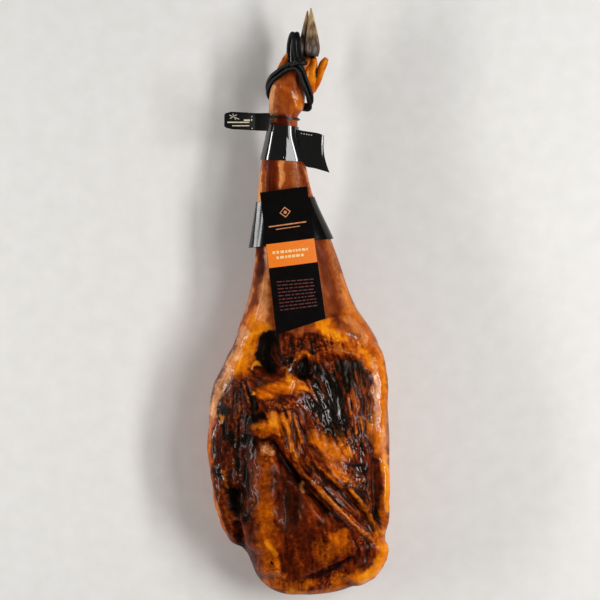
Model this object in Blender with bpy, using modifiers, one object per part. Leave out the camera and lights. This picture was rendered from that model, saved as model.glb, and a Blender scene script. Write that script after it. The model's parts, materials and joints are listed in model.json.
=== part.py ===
"""Whole cured ham with its hoof, a doubled black cord, a seal strap and black paper labels.

Metres, +Z up. The ham lies on its rind, cut meat side up, with the hoof towards +Y.
The origin is on the floor, under the middle of the whole piece.
"""

import math

import bmesh
import bpy
import numpy as np

MM = 0.001
OBJECT_NAME = "cured_ham"

# Sections of the leg in millimetres:
# place along Y, left edge, right edge, underside, upper side.
LEG_SECTIONS = (
    (-427, -14, 18, 51, 60),
    (-425, -24, 40, 46, 66),
    (-419, -40, 67, 37, 73),
    (-409, -53, 91, 28, 81),
    (-396, -63, 111, 19, 90),
    (-381, -69, 123, 12, 98),
    (-364, -77, 128, 8, 104),
    (-357, -84, 127, 7, 107),
    (-350, -99, 126, 6, 109),
    (-332, -109, 126, 3, 114),
    (-303, -118, 130, 0, 121),
    (-259, -127, 132, -3, 126),
    (-204, -132, 132, -3, 129),
    (-150, -130, 129, -3, 128),
    (-122, -125, 127, -2, 126),
    (-95, -112, 124, 0, 123),
    (-61, -95, 116, 5, 118),
    (-38, -88, 104, 9, 114),
    (-9, -78, 84, 15, 110),
    (18, -71, 72, 21, 106),
    (54, -65, 60, 31, 102),
    (90, -62, 47, 37, 100),
    (156, -60, 20, 44, 95),
    (207, -54, 8, 47, 93),
    (252, -45, -2, 50, 92),
    (268, -44, -2, 50, 92),
    (283, -44, 7, 47, 94),
    (301, -43, 9, 45, 96),
    (318, -37, 8, 45, 96),
    (332, -26, 12, 46, 96),
    (343, -15, 22, 47, 95),
    (350, -8.5, 26, 48.5, 93.5),
    (356, -1, 25, 53, 88),
)
WIDEST_AT = 0.46
UPPER_ROUNDNESS = 2.4
UNDER_ROUNDNESS = 2.0
UPPER_STEPS = 40
UNDER_STEPS = 12
END_ROWS = 5
END_REACH = 22
MEAT_ROW = 7.9
SHANK_START = -18
SHANK_ROW = 16.0
FOOT_START = 252
FOOT_ROW = 9.0

# Raised forms of the meat side: path, half width, height (millimetres).
RIDGES = (
    (((22, -80), (42, -71), (68, -73), (92, -78)), 8, 7),
    (((-72, -182), (-50, -177), (-33, -172), (-24, -160)), 10, 10),
    (((-24, -165), (-12, -200), (-4, -232)), 6, 5),
    (((4, -244), (32, -272), (62, -303), (100, -341)), 8, 8),
    (((30, -228), (48, -248), (68, -268)), 8, 6),
    (((70, -266), (88, -288), (104, -314), (119, -342)), 7, 8),
    (((-46, -210), (-48, -290), (-50, -350), (-36, -402)), 20, 9),
    (((118, -55), (119, -130), (113, -214)), 10, 7),
    (((123, -226), (124, -280), (121, -334)), 7, 6),
    (((117, -346), (119, -370), (104, -392), (70, -404)), 12, 8),
    (((-124, -165), (-122, -230), (-114, -285), (-100, -345)), 9, 7),
    (((-104, -104), (-92, -74), (-76, -52), (-52, -40)), 10, 6),
    (((-52, -106), (-34, -118), (-8, -128)), 12, 6),
)

# Folds and gaps of the meat side: path, half width, depth (millimetres).
FOLDS = (
    (((-46, -197), (-30, -215), (-6, -251), (20, -281), (50, -320)), 8, 12),
    (((111, -218), (112, -270), (110, -330)), 7, 8),
    (((4, -408), (32, -396), (56, -385), (80, -369)), 7, 6),
    (((-94, -316), (-89, -336), (-84, -362)), 7, 11),
    (((62, -262), (84, -296), (108, -330)), 6, 5),
)

# Hollows of the meat side: centre, half sizes, depth (millimetres).
HOLLOWS = (
    ((-45, -73), (16, 27), 15),
    ((8, -96), (15, 15), 12),
    ((42, -150), (38, 46), 8),
    ((-12, -286), (18, 40), 8),
    ((-88, -232), (18, 62), 7),
    ((-93, -288), (13, 20), 12),
    ((90, -250), (16, 34), 5),
)
CRAG_SIZE = 24
CRAG_HEIGHT = 1.8
CRAG_SEED = 11
MEAT_EDGE = -46
MEAT_FADE = 34

# Toes and pads that grow out of the foot: spine points, radius at each (millimetres).
TOES = {
    "left_toe": (
        ((-27, 322, 74), (-27, 336, 79), (-21, 350, 81), (-18, 361, 82)),
        (7.0, 5.6, 4.6, 2.0),
    ),
    "inner_pad": (
        ((20, 303, 74), (18, 316, 79), (17.5, 331, 86), (21, 345, 90), (23, 354, 92)),
        (2.2, 6.2, 8.6, 6.2, 2.6),
    ),
    "outer_pad": (
        ((22, 306, 70), (26, 319, 74), (30, 332, 79), (35, 345, 83), (40, 354, 85)),
        (2.2, 5.0, 6.0, 6.0, 3.2),
    ),
}
TOE_SIDES = 10
TOE_RINGS = 11

# Horn claws: middle of the base, tip, half width and half height at the base (millimetres).
CLAW_BASE = 356.4
CLAWS = {
    "claw_left": ((8.6, 60.0), (12.5, 424.0, 69.0), 9.8, 11.0),
    "claw_right": ((20.0, 82.5), (17.4, 427.0, 78.0), 10.8, 11.4),
}
CLAW_RINGS = 11
CLAW_SIDES = 14
CLAW_SWELL = 0.07
CLAW_TIP = 0.10
CLAW_ROOT = 0.26
CLAW_ROOT_SHARE = 0.2

# The doubled cord: route of the choke loop and of the hanging loop, half sizes (millimetres).
FOOT_AXIS = (-15, None, 70)
CHOKE_ROUTE = (
    (-4, 341.5, 102.5),
    (-14, 340.5, 100.5),
    (-23, 336.5, 95),
    (-31, 331, 88),
    (-38.6, 325.2, 79.6),
    (-43.6, 317, 69.4),
    (-45.4, 308, 58),
    (-40, 299, 46.6),
    (-26, 292.5, 40.5),
    (-8, 288, 38.5),
    (6, 285.5, 43),
    (13.5, 284.5, 55),
    (16.5, 288, 70),
    (15.5, 298, 85),
    (11.5, 310, 95),
    (7, 322, 101),
    (3, 334, 103),
)
CHOKE_TILT = 1.4
LOOP_AXIS = (None, 366, 62)
HANGING_ROUTE = (
    (2, 339, 101.5),
    (-0.5, 349, 97),
    (-2.5, 360, 89),
    (-3.5, 371, 81.5),
    (-4, 382, 75.5),
    (-5.5, 390.5, 66),
    (-8.5, 389, 55),
    (-11.5, 378, 47),
    (-12.5, 361, 41.5),
    (-11.5, 340, 39.5),
    (-10, 314, 39),
    (-9, 287, 38.5),
)
KNOT_ROUTE = (
    (-13, 343, 98),
    (-7, 344, 105),
    (1, 345.5, 107.5),
    (7, 346, 104.5),
    (9.5, 346, 98),
)
CORD_HALF_WIDTH = 6.4
CORD_HALF_THICKNESS = 3.3
KNOT_RADIUS = 3.6
HANGING_END_TAPER = 0.4
CORD_SIDES = 8
CORD_STEPS = 3

# Wraps round the leg: clearance to the skin (millimetres), faces over and under it.
WRAP_GAP = 1.2
WRAP_SIDES = 16

# The seal: a narrow strap round the ankle, its housing and its tag (millimetres).
STRAP_PLACE = 267.5
STRAP_LEAN = -2.0
STRAP_WIDTH = 3.0
STRAP_SIDES = 14
STRAP_THICKNESS = 1.6
HOUSING_OUTLINE = ((-63, 248.6), (-44.5, 247.8), (-42.5, 256), (-41.5, 266.4), (-35.6, 266.2),
                   (-35.6, 269.6), (-41.5, 270.4), (-42.5, 274), (-63, 273.8))
HOUSING_HEIGHT = 92.0
HOUSING_THICKNESS = 4.0
TAG_OUTLINE = ((-106, 252.6), (-98, 250.6), (-61, 248.6), (-61, 273.8), (-98, 276), (-107, 273.6),
               (-108.4, 271), (-108.4, 255))
TAG_THICKNESS = 1.6

# The shiny band round the shank, with its loose end at the right (millimetres).
BAND_LOW = 205.0
BAND_HIGH = 256.0
BAND_LEAN = -1.8
BAND_THICKNESS = 1.2
BAND_ROWS = 3
LOOSE_END_OUTLINE = ((-4.2, 250.5), (6, 248.6), (28, 245), (36.2, 241.8), (35.4, 223),
                     (38.2, 206), (44.4, 187.6), (24, 193.6), (10.5, 196.6), (4.6, 206.5))
LOOSE_END_HEIGHT = 85.5
LOOSE_END_THICKNESS = 1.6

# The cone of black card under the long label (millimetres).
COLLAR_TOP_LEFT = 145.0
COLLAR_TOP_RIGHT = 153.0
COLLAR_LOW_LEFT = 79.0
COLLAR_LOW_RIGHT = 92.0
COLLAR_STAND_OFF_LEFT = 9.0
COLLAR_STAND_OFF = 2.4
COLLAR_THICKNESS = 0.8
COLLAR_ROWS = 3

# The long label: corners seen from above, bend across, height over the leg (millimetres).
CARD_TOP = ((-56.5, 158.5), (11.5, 167.5))
CARD_LOW = ((-32.5, -47.5), (38.5, -24.0))
CARD_BEND = 2.0
CARD_LIFTS = ((0, 5.2), (0.34, 7.8), (1, 3.4))
CARD_THICKNESS = 0.8
CARD_ROWS = 13
CARD_COLUMNS = 6

COLOURS = {
    "ham": ((0.30, 0.11, 0.025, 1), 0.42),
    "claw_left": ((0.10, 0.06, 0.045, 1), 0.38),
    "claw_right": ((0.22, 0.17, 0.12, 1), 0.38),
    "hanging_cord": ((0.010, 0.009, 0.010, 1), 0.62),
    "seal_strap": ((0.008, 0.008, 0.009, 1), 0.35),
    "shank_band": ((0.006, 0.006, 0.006, 1), 0.16),
    "label_collar": ((0.007, 0.007, 0.007, 1), 0.28),
    "label_card": ((0.008, 0.007, 0.007, 1), 0.40),
}


def clear_scene():
    for found in list(bpy.data.objects):
        bpy.data.objects.remove(found, do_unlink=True)


def new_collection(name):
    made = bpy.data.collections.new(name)
    bpy.context.scene.collection.children.link(made)
    return made


def smooth(places, values, at):
    """Cubic curve through the values that never swings past them."""
    places = np.asarray(places, float)
    values = np.asarray(values, float)
    at = np.asarray(at, float)
    step = np.diff(places)
    slope = np.diff(values) / step
    agree = slope[:-1] * slope[1:] > 0
    both = np.where(agree, slope[:-1] + slope[1:], 1.0)
    tangent = np.zeros(len(values))
    tangent[1:-1] = np.where(agree, 2 * slope[:-1] * slope[1:] / both, 0.0)
    tangent[0] = slope[0]
    tangent[-1] = slope[-1]
    i = np.clip(np.searchsorted(places, at, side="right") - 1, 0, len(step) - 1)
    t = (at - places[i]) / step[i]
    start = (1 + 2 * t) * (1 - t) ** 2 * values[i] + t * (1 - t) ** 2 * step[i] * tangent[i]
    end = t * t * (3 - 2 * t) * values[i + 1] - t * t * (1 - t) * step[i] * tangent[i + 1]
    return start + end


def eased(value, low, high):
    """0 below low, 1 above high, and a soft step between."""
    t = np.clip((np.asarray(value, float) - low) / (high - low), 0, 1)
    return t * t * (3 - 2 * t)


def rounded_path(points, each=6, closed=False):
    """Catmull-Rom curve through points of two or three coordinates."""
    points = np.asarray(points, float)
    if closed:
        padded = np.vstack([points[-1:], points, points[:2]])
    else:
        first = 2 * points[0] - points[1]
        last = 2 * points[-1] - points[-2]
        padded = np.vstack([first, points, last])
    t = np.linspace(0, 1, each, endpoint=False)[:, None]
    pieces = []
    for k in range(len(padded) - 3):
        a, b, c, d = padded[k:k + 4]
        bend = (2 * a - 5 * b + 4 * c - d) * t ** 2 + (3 * b - a - 3 * c + d) * t ** 3
        pieces.append(0.5 * (2 * b + (c - a) * t + bend))
    if not closed:
        pieces.append(padded[-2:-1])
    return np.vstack(pieces)


def nearest(x, y, path):
    """Distance to a path, and how far along it the nearest place is, from 0 to 1."""
    line = rounded_path(path)
    best = np.full(np.shape(x), np.inf)
    share = np.zeros(np.shape(x))
    count = len(line) - 1
    for k in range(count):
        run = line[k + 1] - line[k]
        t = ((x - line[k][0]) * run[0] + (y - line[k][1]) * run[1]) / (run @ run)
        t = np.clip(t, 0, 1)
        away = np.hypot(x - line[k][0] - t * run[0], y - line[k][1] - t * run[1])
        closer = away < best
        best = np.where(closer, away, best)
        share = np.where(closer, (k + t) / count, share)
    return best, share


def swell(x, y, path, reach, rise):
    """Rounded ridge along a path that dies out at both ends."""
    away, share = nearest(x, y, path)
    ends = eased(share, -0.02, 0.14) * eased(1 - share, -0.02, 0.14)
    return rise * np.exp(-(away / reach) ** 2) * ends


def hollow(x, y, centre, half, depth):
    away = np.hypot((x - centre[0]) / half[0], (y - centre[1]) / half[1])
    return depth * np.exp(-away ** 4)


def unevenness(x, y, size, seed):
    """Smooth seeded waves between -1 and 1, each about size long."""
    lattice = np.random.default_rng(seed).uniform(-1, 1, (64, 64))
    u = x / size + 32
    v = y / size + 32
    i = np.floor(u).astype(int)
    j = np.floor(v).astype(int)
    s = eased(u - i, 0, 1)
    t = eased(v - j, 0, 1)
    low = lattice[i % 64, j % 64] * (1 - s) + lattice[(i + 1) % 64, j % 64] * s
    high = lattice[i % 64, (j + 1) % 64] * (1 - s) + lattice[(i + 1) % 64, (j + 1) % 64] * s
    return low * (1 - t) + high * t


def relief(x, y):
    """Height of the meat side's folds, ridges and hollows over the plain form."""
    total = np.zeros(np.shape(x))
    for path, reach, rise in RIDGES:
        total += swell(x, y, path, reach, rise)
    for path, reach, depth in FOLDS:
        total -= swell(x, y, path, reach, depth)
    for centre, half, depth in HOLLOWS:
        total -= hollow(x, y, centre, half, depth)
    meat = eased(-y, -MEAT_EDGE, -MEAT_EDGE + MEAT_FADE)
    return total + CRAG_HEIGHT * meat * unevenness(x, y, CRAG_SIZE, CRAG_SEED)


def leg_sizes(y):
    """Left edge, right edge, underside and upper side of the leg at a place along it."""
    places = [row[0] for row in LEG_SECTIONS]
    return [smooth(places, [row[k] for row in LEG_SECTIONS], y) for k in range(1, 5)]


def section_ring(upper_steps, under_steps):
    """Unit outline of a section: across and up shares, from the right edge over the top."""
    over = np.linspace(1, -1, upper_steps, endpoint=False)
    across = np.sin(over * math.pi / 2)
    up = (1 - np.abs(across) ** UPPER_ROUNDNESS) ** (1 / UPPER_ROUNDNESS)
    back = np.linspace(-1, 1, under_steps, endpoint=False)
    across_back = np.sin(back * math.pi / 2)
    down = (1 - np.abs(across_back) ** UNDER_ROUNDNESS) ** (1 / UNDER_ROUNDNESS)
    return np.concatenate([across, across_back]), np.concatenate([up, -down])


def round_leg(y, across, up, lift=0.0):
    """Points round the plain leg at places y along it, lifted off the skin."""
    left, right, under, upper = leg_sizes(y)
    widest = under + WIDEST_AT * (upper - under)
    x = (left + right) / 2 + ((right - left) / 2 + lift) * across
    z = widest + np.where(up >= 0, upper - widest + lift, widest - under + lift) * up
    return np.stack([x, y, z], axis=2)


def wrap_rows(low, high, lean, count, across):
    """Places along the leg of a wrap's rows, each leaning to one side."""
    rows = np.linspace(low, high, count)[:, None]
    return rows + lean * across[None, :]


def leg_rows():
    end = LEG_SECTIONS[0][0]
    turn = np.linspace(0, math.pi / 2, END_ROWS, endpoint=False)
    rounded = end + END_REACH * (1 - np.cos(turn))
    start = end + END_REACH
    meat = np.linspace(start, SHANK_START, round((SHANK_START - start) / MEAT_ROW), endpoint=False)
    shank = np.linspace(SHANK_START, FOOT_START,
                        round((FOOT_START - SHANK_START) / SHANK_ROW), endpoint=False)
    last = LEG_SECTIONS[-1][0]
    foot = np.linspace(FOOT_START, last, round((last - FOOT_START) / FOOT_ROW) + 1)
    return np.concatenate([rounded, meat, shank, foot])


def outward(points):
    """Unit normals of a closed-ring grid."""
    along = np.gradient(points, axis=0)
    ahead = np.roll(points, -1, axis=1)
    behind = np.roll(points, 1, axis=1)
    normal = np.cross(along, ahead - behind)
    length = np.linalg.norm(normal, axis=2, keepdims=True)
    return normal / np.maximum(length, 1e-9)


def mesh_object(name, collection, verts, faces):
    mesh = bpy.data.meshes.new(name)
    mesh.from_pydata([tuple(v) for v in verts], [], faces)
    tidy = bmesh.new()
    tidy.from_mesh(mesh)
    bmesh.ops.recalc_face_normals(tidy, faces=tidy.faces)
    tidy.to_mesh(mesh)
    tidy.free()
    mesh.shade_smooth()
    made = bpy.data.objects.new(name, mesh)
    collection.objects.link(made)
    return made


def ring_solid(name, collection, grid, closed=False):
    """Solid whose skin runs through the rings of a grid, capped or joined end to end."""
    count, sides = grid.shape[:2]
    verts = grid.reshape(-1, 3) * MM
    faces = []
    for i in range(count if closed else count - 1):
        n = (i + 1) % count
        for j in range(sides):
            k = (j + 1) % sides
            faces.append((i * sides + j, i * sides + k, n * sides + k, n * sides + j))
    if not closed:
        faces.append(tuple(range(sides)))
        faces.append(tuple((count - 1) * sides + j for j in reversed(range(sides))))
    return mesh_object(name, collection, verts, faces)


def swept(path, half_width, half_thickness, sides, axis=None, closed=False, tilt=0.0):
    """Rings of an oval section along a path; its wide side faces away from the axis,
    and the tilt turns it upwards, most of all over the top."""
    count = len(path)
    if closed:
        tangent = np.roll(path, -1, axis=0) - np.roll(path, 1, axis=0)
    else:
        tangent = np.gradient(path, axis=0)
    tangent /= np.linalg.norm(tangent, axis=1, keepdims=True)
    if axis is None:
        away = np.tile([0.0, 0.0, 1.0], (count, 1))
    else:
        along = [k for k in range(3) if axis[k] is None]
        away = path - np.array([value or 0 for value in axis], float)
        away[:, along] = 0
        away /= np.linalg.norm(away, axis=1, keepdims=True)
        away[:, 2] += tilt * (1 + away[:, 2]) / 2
    away -= np.sum(away * tangent, axis=1, keepdims=True) * tangent
    away /= np.linalg.norm(away, axis=1, keepdims=True)
    side = np.cross(tangent, away)
    turn = np.arange(sides) * 2 * math.pi / sides
    wide = np.reshape(half_width * np.ones(count), (count, 1, 1))
    thick = np.reshape(half_thickness * np.ones(count), (count, 1, 1))
    oval = side[:, None, :] * wide * np.cos(turn)[None, :, None]
    return path[:, None, :] + oval + away[:, None, :] * thick * np.sin(turn)[None, :, None]


def plate(name, collection, outline, height, thickness):
    """Flat piece from its outline seen from above."""
    curve = bpy.data.curves.new(name, "CURVE")
    curve.dimensions = "2D"
    curve.fill_mode = "BOTH"
    curve.extrude = thickness * MM / 2
    line = curve.splines.new("POLY")
    line.points.add(len(outline) - 1)
    for point, (x, y) in zip(line.points, outline):
        point.co = (x * MM, y * MM, 0, 1)
    line.use_cyclic_u = True
    drawn = bpy.data.objects.new(name + "_outline", curve)
    drawn.location.z = height * MM
    collection.objects.link(drawn)
    flat = as_mesh(drawn, name, collection)
    weld = bmesh.new()
    weld.from_mesh(flat.data)
    bmesh.ops.remove_doubles(weld, verts=weld.verts, dist=0.00001)
    bmesh.ops.recalc_face_normals(weld, faces=weld.faces)
    weld.to_mesh(flat.data)
    weld.free()
    return flat


def as_mesh(source, name, collection):
    """Plain mesh object of a curve or of an object with live modifiers."""
    bpy.context.view_layer.update()
    depsgraph = bpy.context.evaluated_depsgraph_get()
    mesh = bpy.data.meshes.new_from_object(source.evaluated_get(depsgraph))
    place = source.matrix_world.copy()
    bpy.data.objects.remove(source, do_unlink=True)
    made = bpy.data.objects.new(name, mesh)
    made.matrix_world = place
    collection.objects.link(made)
    return made


def fuse(main, extras, collection):
    """Join pieces to the main one with one union, and remove them."""
    gathered = new_collection(main.name + "_joined")
    for extra in extras:
        for home in list(extra.users_collection):
            home.objects.unlink(extra)
        gathered.objects.link(extra)
    union = main.modifiers.new("union", "BOOLEAN")
    union.operation = "UNION"
    union.operand_type = "COLLECTION"
    union.collection = gathered
    union.solver = "EXACT"
    joined = as_mesh(main, main.name, collection)
    for extra in list(gathered.objects):
        bpy.data.objects.remove(extra, do_unlink=True)
    bpy.data.collections.remove(gathered)
    joined.data.shade_smooth()
    return joined


def shell(name, collection, grid, thickness, closed):
    """Thin sheet over a grid of points, made solid outwards."""
    count, sides = grid.shape[:2]
    faces = []
    for i in range(count - 1):
        for j in range(sides if closed else sides - 1):
            k = (j + 1) % sides
            faces.append((i * sides + j, (i + 1) * sides + j, (i + 1) * sides + k, i * sides + k))
    mesh = bpy.data.meshes.new(name)
    mesh.from_pydata([tuple(v) for v in grid.reshape(-1, 3) * MM], [], faces)
    sheet = bpy.data.objects.new(name, mesh)
    collection.objects.link(sheet)
    solid = sheet.modifiers.new("thickness", "SOLIDIFY")
    solid.thickness = thickness * MM
    solid.offset = 1
    solid.use_even_offset = True
    return sheet


def paint(piece):
    colour, roughness = COLOURS[piece.name]
    material = bpy.data.materials.new(piece.name)
    material.use_nodes = True
    shader = material.node_tree.nodes["Principled BSDF"]
    shader.inputs["Base Color"].default_value = colour
    shader.inputs["Roughness"].default_value = roughness
    shader.inputs["Metallic"].default_value = 0.0
    piece.data.materials.clear()
    piece.data.materials.append(material)
    material.diffuse_color = colour


def ham(collection):
    """Leg, shank and foot as one solid, with the folds of the meat side and the toes."""
    across, up = section_ring(UPPER_STEPS, UNDER_STEPS)
    places = np.repeat(leg_rows()[:, None], len(across), axis=1)
    grid = round_leg(places, across, up)
    normal = outward(grid)
    facing = eased(normal[:, :, 2], 0.05, 0.45)
    rise = relief(grid[:, :, 0], grid[:, :, 1]) * facing
    grid = grid + normal * rise[:, :, None]
    grid[:, :, 2] = np.maximum(grid[:, :, 2], 0)
    body = ring_solid("ham", collection, grid)
    toes = []
    for name, (spine, radii) in TOES.items():
        line = rounded_path(spine)
        share = np.linspace(0, 1, len(line))
        pick = np.linspace(0, len(line) - 1, TOE_RINGS).round().astype(int)
        size = smooth(np.linspace(0, 1, len(radii)), radii, share[pick])
        rings = swept(line[pick], size, size, TOE_SIDES)
        toes.append(ring_solid(name, collection, rings))
    return fuse(body, toes, collection)


def claw(name, collection):
    """Pointed horn claw: full at the root, bent a little, drawn out to the tip."""
    (base_x, base_z), tip, half_width, half_height = CLAWS[name]
    share = 1 - np.cos(np.linspace(0, math.pi / 2, CLAW_RINGS))
    share = 0.5 * share + 0.5 * np.linspace(0, 1, CLAW_RINGS)
    size = (1 - share ** 1.7) * (1 - CLAW_TIP) + CLAW_TIP
    size = size + CLAW_SWELL * np.sin(math.pi * np.minimum(share * 2, 1))
    size = size * (1 - CLAW_ROOT * np.clip(1 - share / CLAW_ROOT_SHARE, 0, 1) ** 2)
    turn = np.arange(CLAW_SIDES) * 2 * math.pi / CLAW_SIDES
    lean = share ** 1.4
    x = base_x + (tip[0] - base_x) * lean
    z = base_z + (tip[2] - base_z) * lean
    y = CLAW_BASE + (tip[1] - CLAW_BASE) * share
    grid = np.stack([
        x[:, None] + half_width * size[:, None] * np.cos(turn)[None, :],
        np.repeat(y[:, None], CLAW_SIDES, axis=1),
        z[:, None] + half_height * size[:, None] * np.sin(turn)[None, :],
    ], axis=2)
    return ring_solid(name, collection, grid)


def hanging_cord(collection):
    """Doubled cord: a choke loop round the foot, a loop to hang by and the knot."""
    choke = rounded_path(CHOKE_ROUTE, CORD_STEPS, closed=True)
    rings = swept(choke, CORD_HALF_WIDTH, CORD_HALF_THICKNESS, CORD_SIDES, FOOT_AXIS, True,
                  CHOKE_TILT)
    ring = ring_solid("hanging_cord", collection, rings, closed=True)
    loop = rounded_path(HANGING_ROUTE, CORD_STEPS)
    ends = np.abs(np.linspace(-1, 1, len(loop))) ** 12
    slim = 1 - HANGING_END_TAPER * ends
    rings = swept(loop, CORD_HALF_WIDTH * slim, CORD_HALF_THICKNESS * slim, CORD_SIDES, LOOP_AXIS)
    hang = ring_solid("hang", collection, rings)
    knot = rounded_path(KNOT_ROUTE, CORD_STEPS)
    rings = swept(knot, KNOT_RADIUS, KNOT_RADIUS, CORD_SIDES)
    return fuse(ring, [hang, ring_solid("knot", collection, rings)], collection)


def seal_strap(collection):
    """Narrow plastic strap round the ankle, with its housing and a flat tag."""
    across, up = section_ring(STRAP_SIDES, STRAP_SIDES)
    low = STRAP_PLACE - STRAP_WIDTH / 2
    places = wrap_rows(low, low + STRAP_WIDTH, STRAP_LEAN, 2, across)
    grid = round_leg(places, across, up, WRAP_GAP)
    strap = shell("seal_strap", collection, grid, STRAP_THICKNESS, True)
    strap = as_mesh(strap, "seal_strap", collection)
    housing = plate("housing", collection, HOUSING_OUTLINE, HOUSING_HEIGHT, HOUSING_THICKNESS)
    tag = plate("tag", collection, TAG_OUTLINE, HOUSING_HEIGHT, TAG_THICKNESS)
    return fuse(strap, [housing, tag], collection)


def shank_band(collection):
    """Shiny wrap round the shank whose end stands out at the right."""
    across, up = section_ring(WRAP_SIDES, WRAP_SIDES)
    places = wrap_rows(BAND_LOW, BAND_HIGH, BAND_LEAN, BAND_ROWS, across)
    grid = round_leg(places, across, up, WRAP_GAP)
    wrap = shell("shank_band", collection, grid, BAND_THICKNESS, True)
    wrap = as_mesh(wrap, "shank_band", collection)
    end = plate("loose_end", collection, LOOSE_END_OUTLINE, LOOSE_END_HEIGHT, LOOSE_END_THICKNESS)
    return fuse(wrap, [end], collection)


def label_collar(collection):
    """Cone of card that stands off the leg at its lower edge, most of all at the left."""
    share = np.linspace(0, 1, COLLAR_ROWS)[:, None]
    across, up = section_ring(WRAP_SIDES, WRAP_SIDES)
    aside = (across[None, :] + 1) / 2
    low = COLLAR_LOW_LEFT + (COLLAR_LOW_RIGHT - COLLAR_LOW_LEFT) * aside
    high = COLLAR_TOP_LEFT + (COLLAR_TOP_RIGHT - COLLAR_TOP_LEFT) * aside
    y = low + (high - low) * share
    stand_off = COLLAR_STAND_OFF + (COLLAR_STAND_OFF_LEFT - COLLAR_STAND_OFF) * (1 - aside) ** 6
    grid = round_leg(y, across, up, WRAP_GAP + stand_off * (1 - share))
    return shell("label_collar", collection, grid, COLLAR_THICKNESS, True)


def label_card(collection):
    """Long label that lies over the collar and follows the leg below it."""
    down = np.linspace(0, 1, CARD_ROWS)[:, None]
    over = np.linspace(0, 1, CARD_COLUMNS)[None, :]
    top = [CARD_TOP[0][k] + (CARD_TOP[1][k] - CARD_TOP[0][k]) * over for k in (0, 1)]
    low = [CARD_LOW[0][k] + (CARD_LOW[1][k] - CARD_LOW[0][k]) * over for k in (0, 1)]
    x = top[0] + (low[0] - top[0]) * down
    y = top[1] + (low[1] - top[1]) * down
    upper = leg_sizes(y)[3]
    lift = smooth([place for place, _ in CARD_LIFTS], [high for _, high in CARD_LIFTS], down)
    z = upper + lift - CARD_BEND * (2 * over - 1) ** 2
    return shell("label_card", collection, np.stack([x, y, z], axis=2), CARD_THICKNESS, False)


def build():
    clear_scene()
    whole = new_collection(OBJECT_NAME)
    pieces = [
        ham(whole),
        claw("claw_left", whole),
        claw("claw_right", whole),
        hanging_cord(whole),
        seal_strap(whole),
        shank_band(whole),
        label_collar(whole),
        label_card(whole),
    ]
    for piece in pieces:
        paint(piece)


build()
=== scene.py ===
import json
import math

import bmesh
import bpy
import numpy as np
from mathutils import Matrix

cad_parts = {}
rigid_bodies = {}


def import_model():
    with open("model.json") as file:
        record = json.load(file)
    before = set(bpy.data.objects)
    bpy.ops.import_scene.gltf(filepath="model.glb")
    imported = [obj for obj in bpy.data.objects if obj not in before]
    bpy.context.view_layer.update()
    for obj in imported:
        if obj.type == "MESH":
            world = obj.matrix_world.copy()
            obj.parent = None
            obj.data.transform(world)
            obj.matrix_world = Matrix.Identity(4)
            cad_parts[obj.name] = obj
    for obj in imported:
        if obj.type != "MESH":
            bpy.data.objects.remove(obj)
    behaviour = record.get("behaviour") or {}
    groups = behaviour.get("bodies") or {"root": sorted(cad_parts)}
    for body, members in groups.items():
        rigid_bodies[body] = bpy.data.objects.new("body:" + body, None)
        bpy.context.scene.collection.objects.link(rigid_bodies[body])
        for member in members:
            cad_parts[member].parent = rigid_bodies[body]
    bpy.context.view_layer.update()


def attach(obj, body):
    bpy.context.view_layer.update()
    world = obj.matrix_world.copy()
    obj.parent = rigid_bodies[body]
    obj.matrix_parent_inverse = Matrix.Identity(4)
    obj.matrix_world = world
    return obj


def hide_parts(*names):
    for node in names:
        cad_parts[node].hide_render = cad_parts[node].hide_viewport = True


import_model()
mm = 0.001
print("frame loaded")


# Small helpers used by every piece.


def linearColour(text):  # sRGB hex to the linear colour Blender works in
    parts = [int(text[k:k + 2], 16) / 255 for k in (0, 2, 4)]
    return [c / 12.92 if c <= 0.04045 else ((c + 0.055) / 1.055) ** 2.4 for c in parts] + [1.0]


def addNode(tree, kind, inputs=None, stops=None, **settings):
    node = tree.nodes.new(kind)
    for name, value in settings.items():
        setattr(node, name, value)
    for name, value in (inputs or {}).items():
        if isinstance(value, bpy.types.NodeSocket):
            tree.links.new(value, node.inputs[name])
        else:
            node.inputs[name].default_value = value
    if stops:
        ramp = node.color_ramp.elements
        while len(ramp) < len(stops):
            ramp.new(0.5)
        for element, (place, colour) in zip(ramp, stops):
            element.position = place
            element.color = linearColour(colour)
    return node


def newMaterial(name, **settings):
    material = bpy.data.materials.new(name)
    material.use_nodes = True
    shader = material.node_tree.nodes["Principled BSDF"]
    for socket, value in settings.items():
        shader.inputs[socket.replace("_", " ")].default_value = value
    return material, material.node_tree, shader


def placedObject(name, data):
    thing = bpy.data.objects.new(name, data)
    bpy.context.scene.collection.objects.link(thing)
    return thing


def plainFinish(name, size, detail, stops, rough=None, bump=None, **settings):
    # one noise gives the colour and the dullness; bump: its own noise's size and detail, height, strength
    material, tree, shader = newMaterial(name, **settings)
    place = addNode(tree, "ShaderNodeTexCoord").outputs["Object"]
    cloud = addNode(tree, "ShaderNodeTexNoise", {"Vector": place, "Scale": 1 / (size * mm),
                                                 "Detail": detail}).outputs["Fac"]
    colour = addNode(tree, "ShaderNodeValToRGB", {"Fac": cloud}, stops)
    tree.links.new(colour.outputs["Color"], shader.inputs["Base Color"])
    if rough:
        dull = addNode(tree, "ShaderNodeMapRange", {"Value": cloud, "To Min": rough[0], "To Max": rough[1]})
        tree.links.new(dull.outputs[0], shader.inputs["Roughness"])
    if bump:
        grain = addNode(tree, "ShaderNodeTexNoise", {"Vector": place, "Scale": 1 / (bump[0] * mm),
                                                     "Detail": bump[1]}).outputs["Fac"]
        raised = addNode(tree, "ShaderNodeBump", {"Height": grain, "Distance": bump[2], "Strength": bump[3]})
        tree.links.new(raised.outputs[0], shader.inputs["Normal"])
    return material


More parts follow.
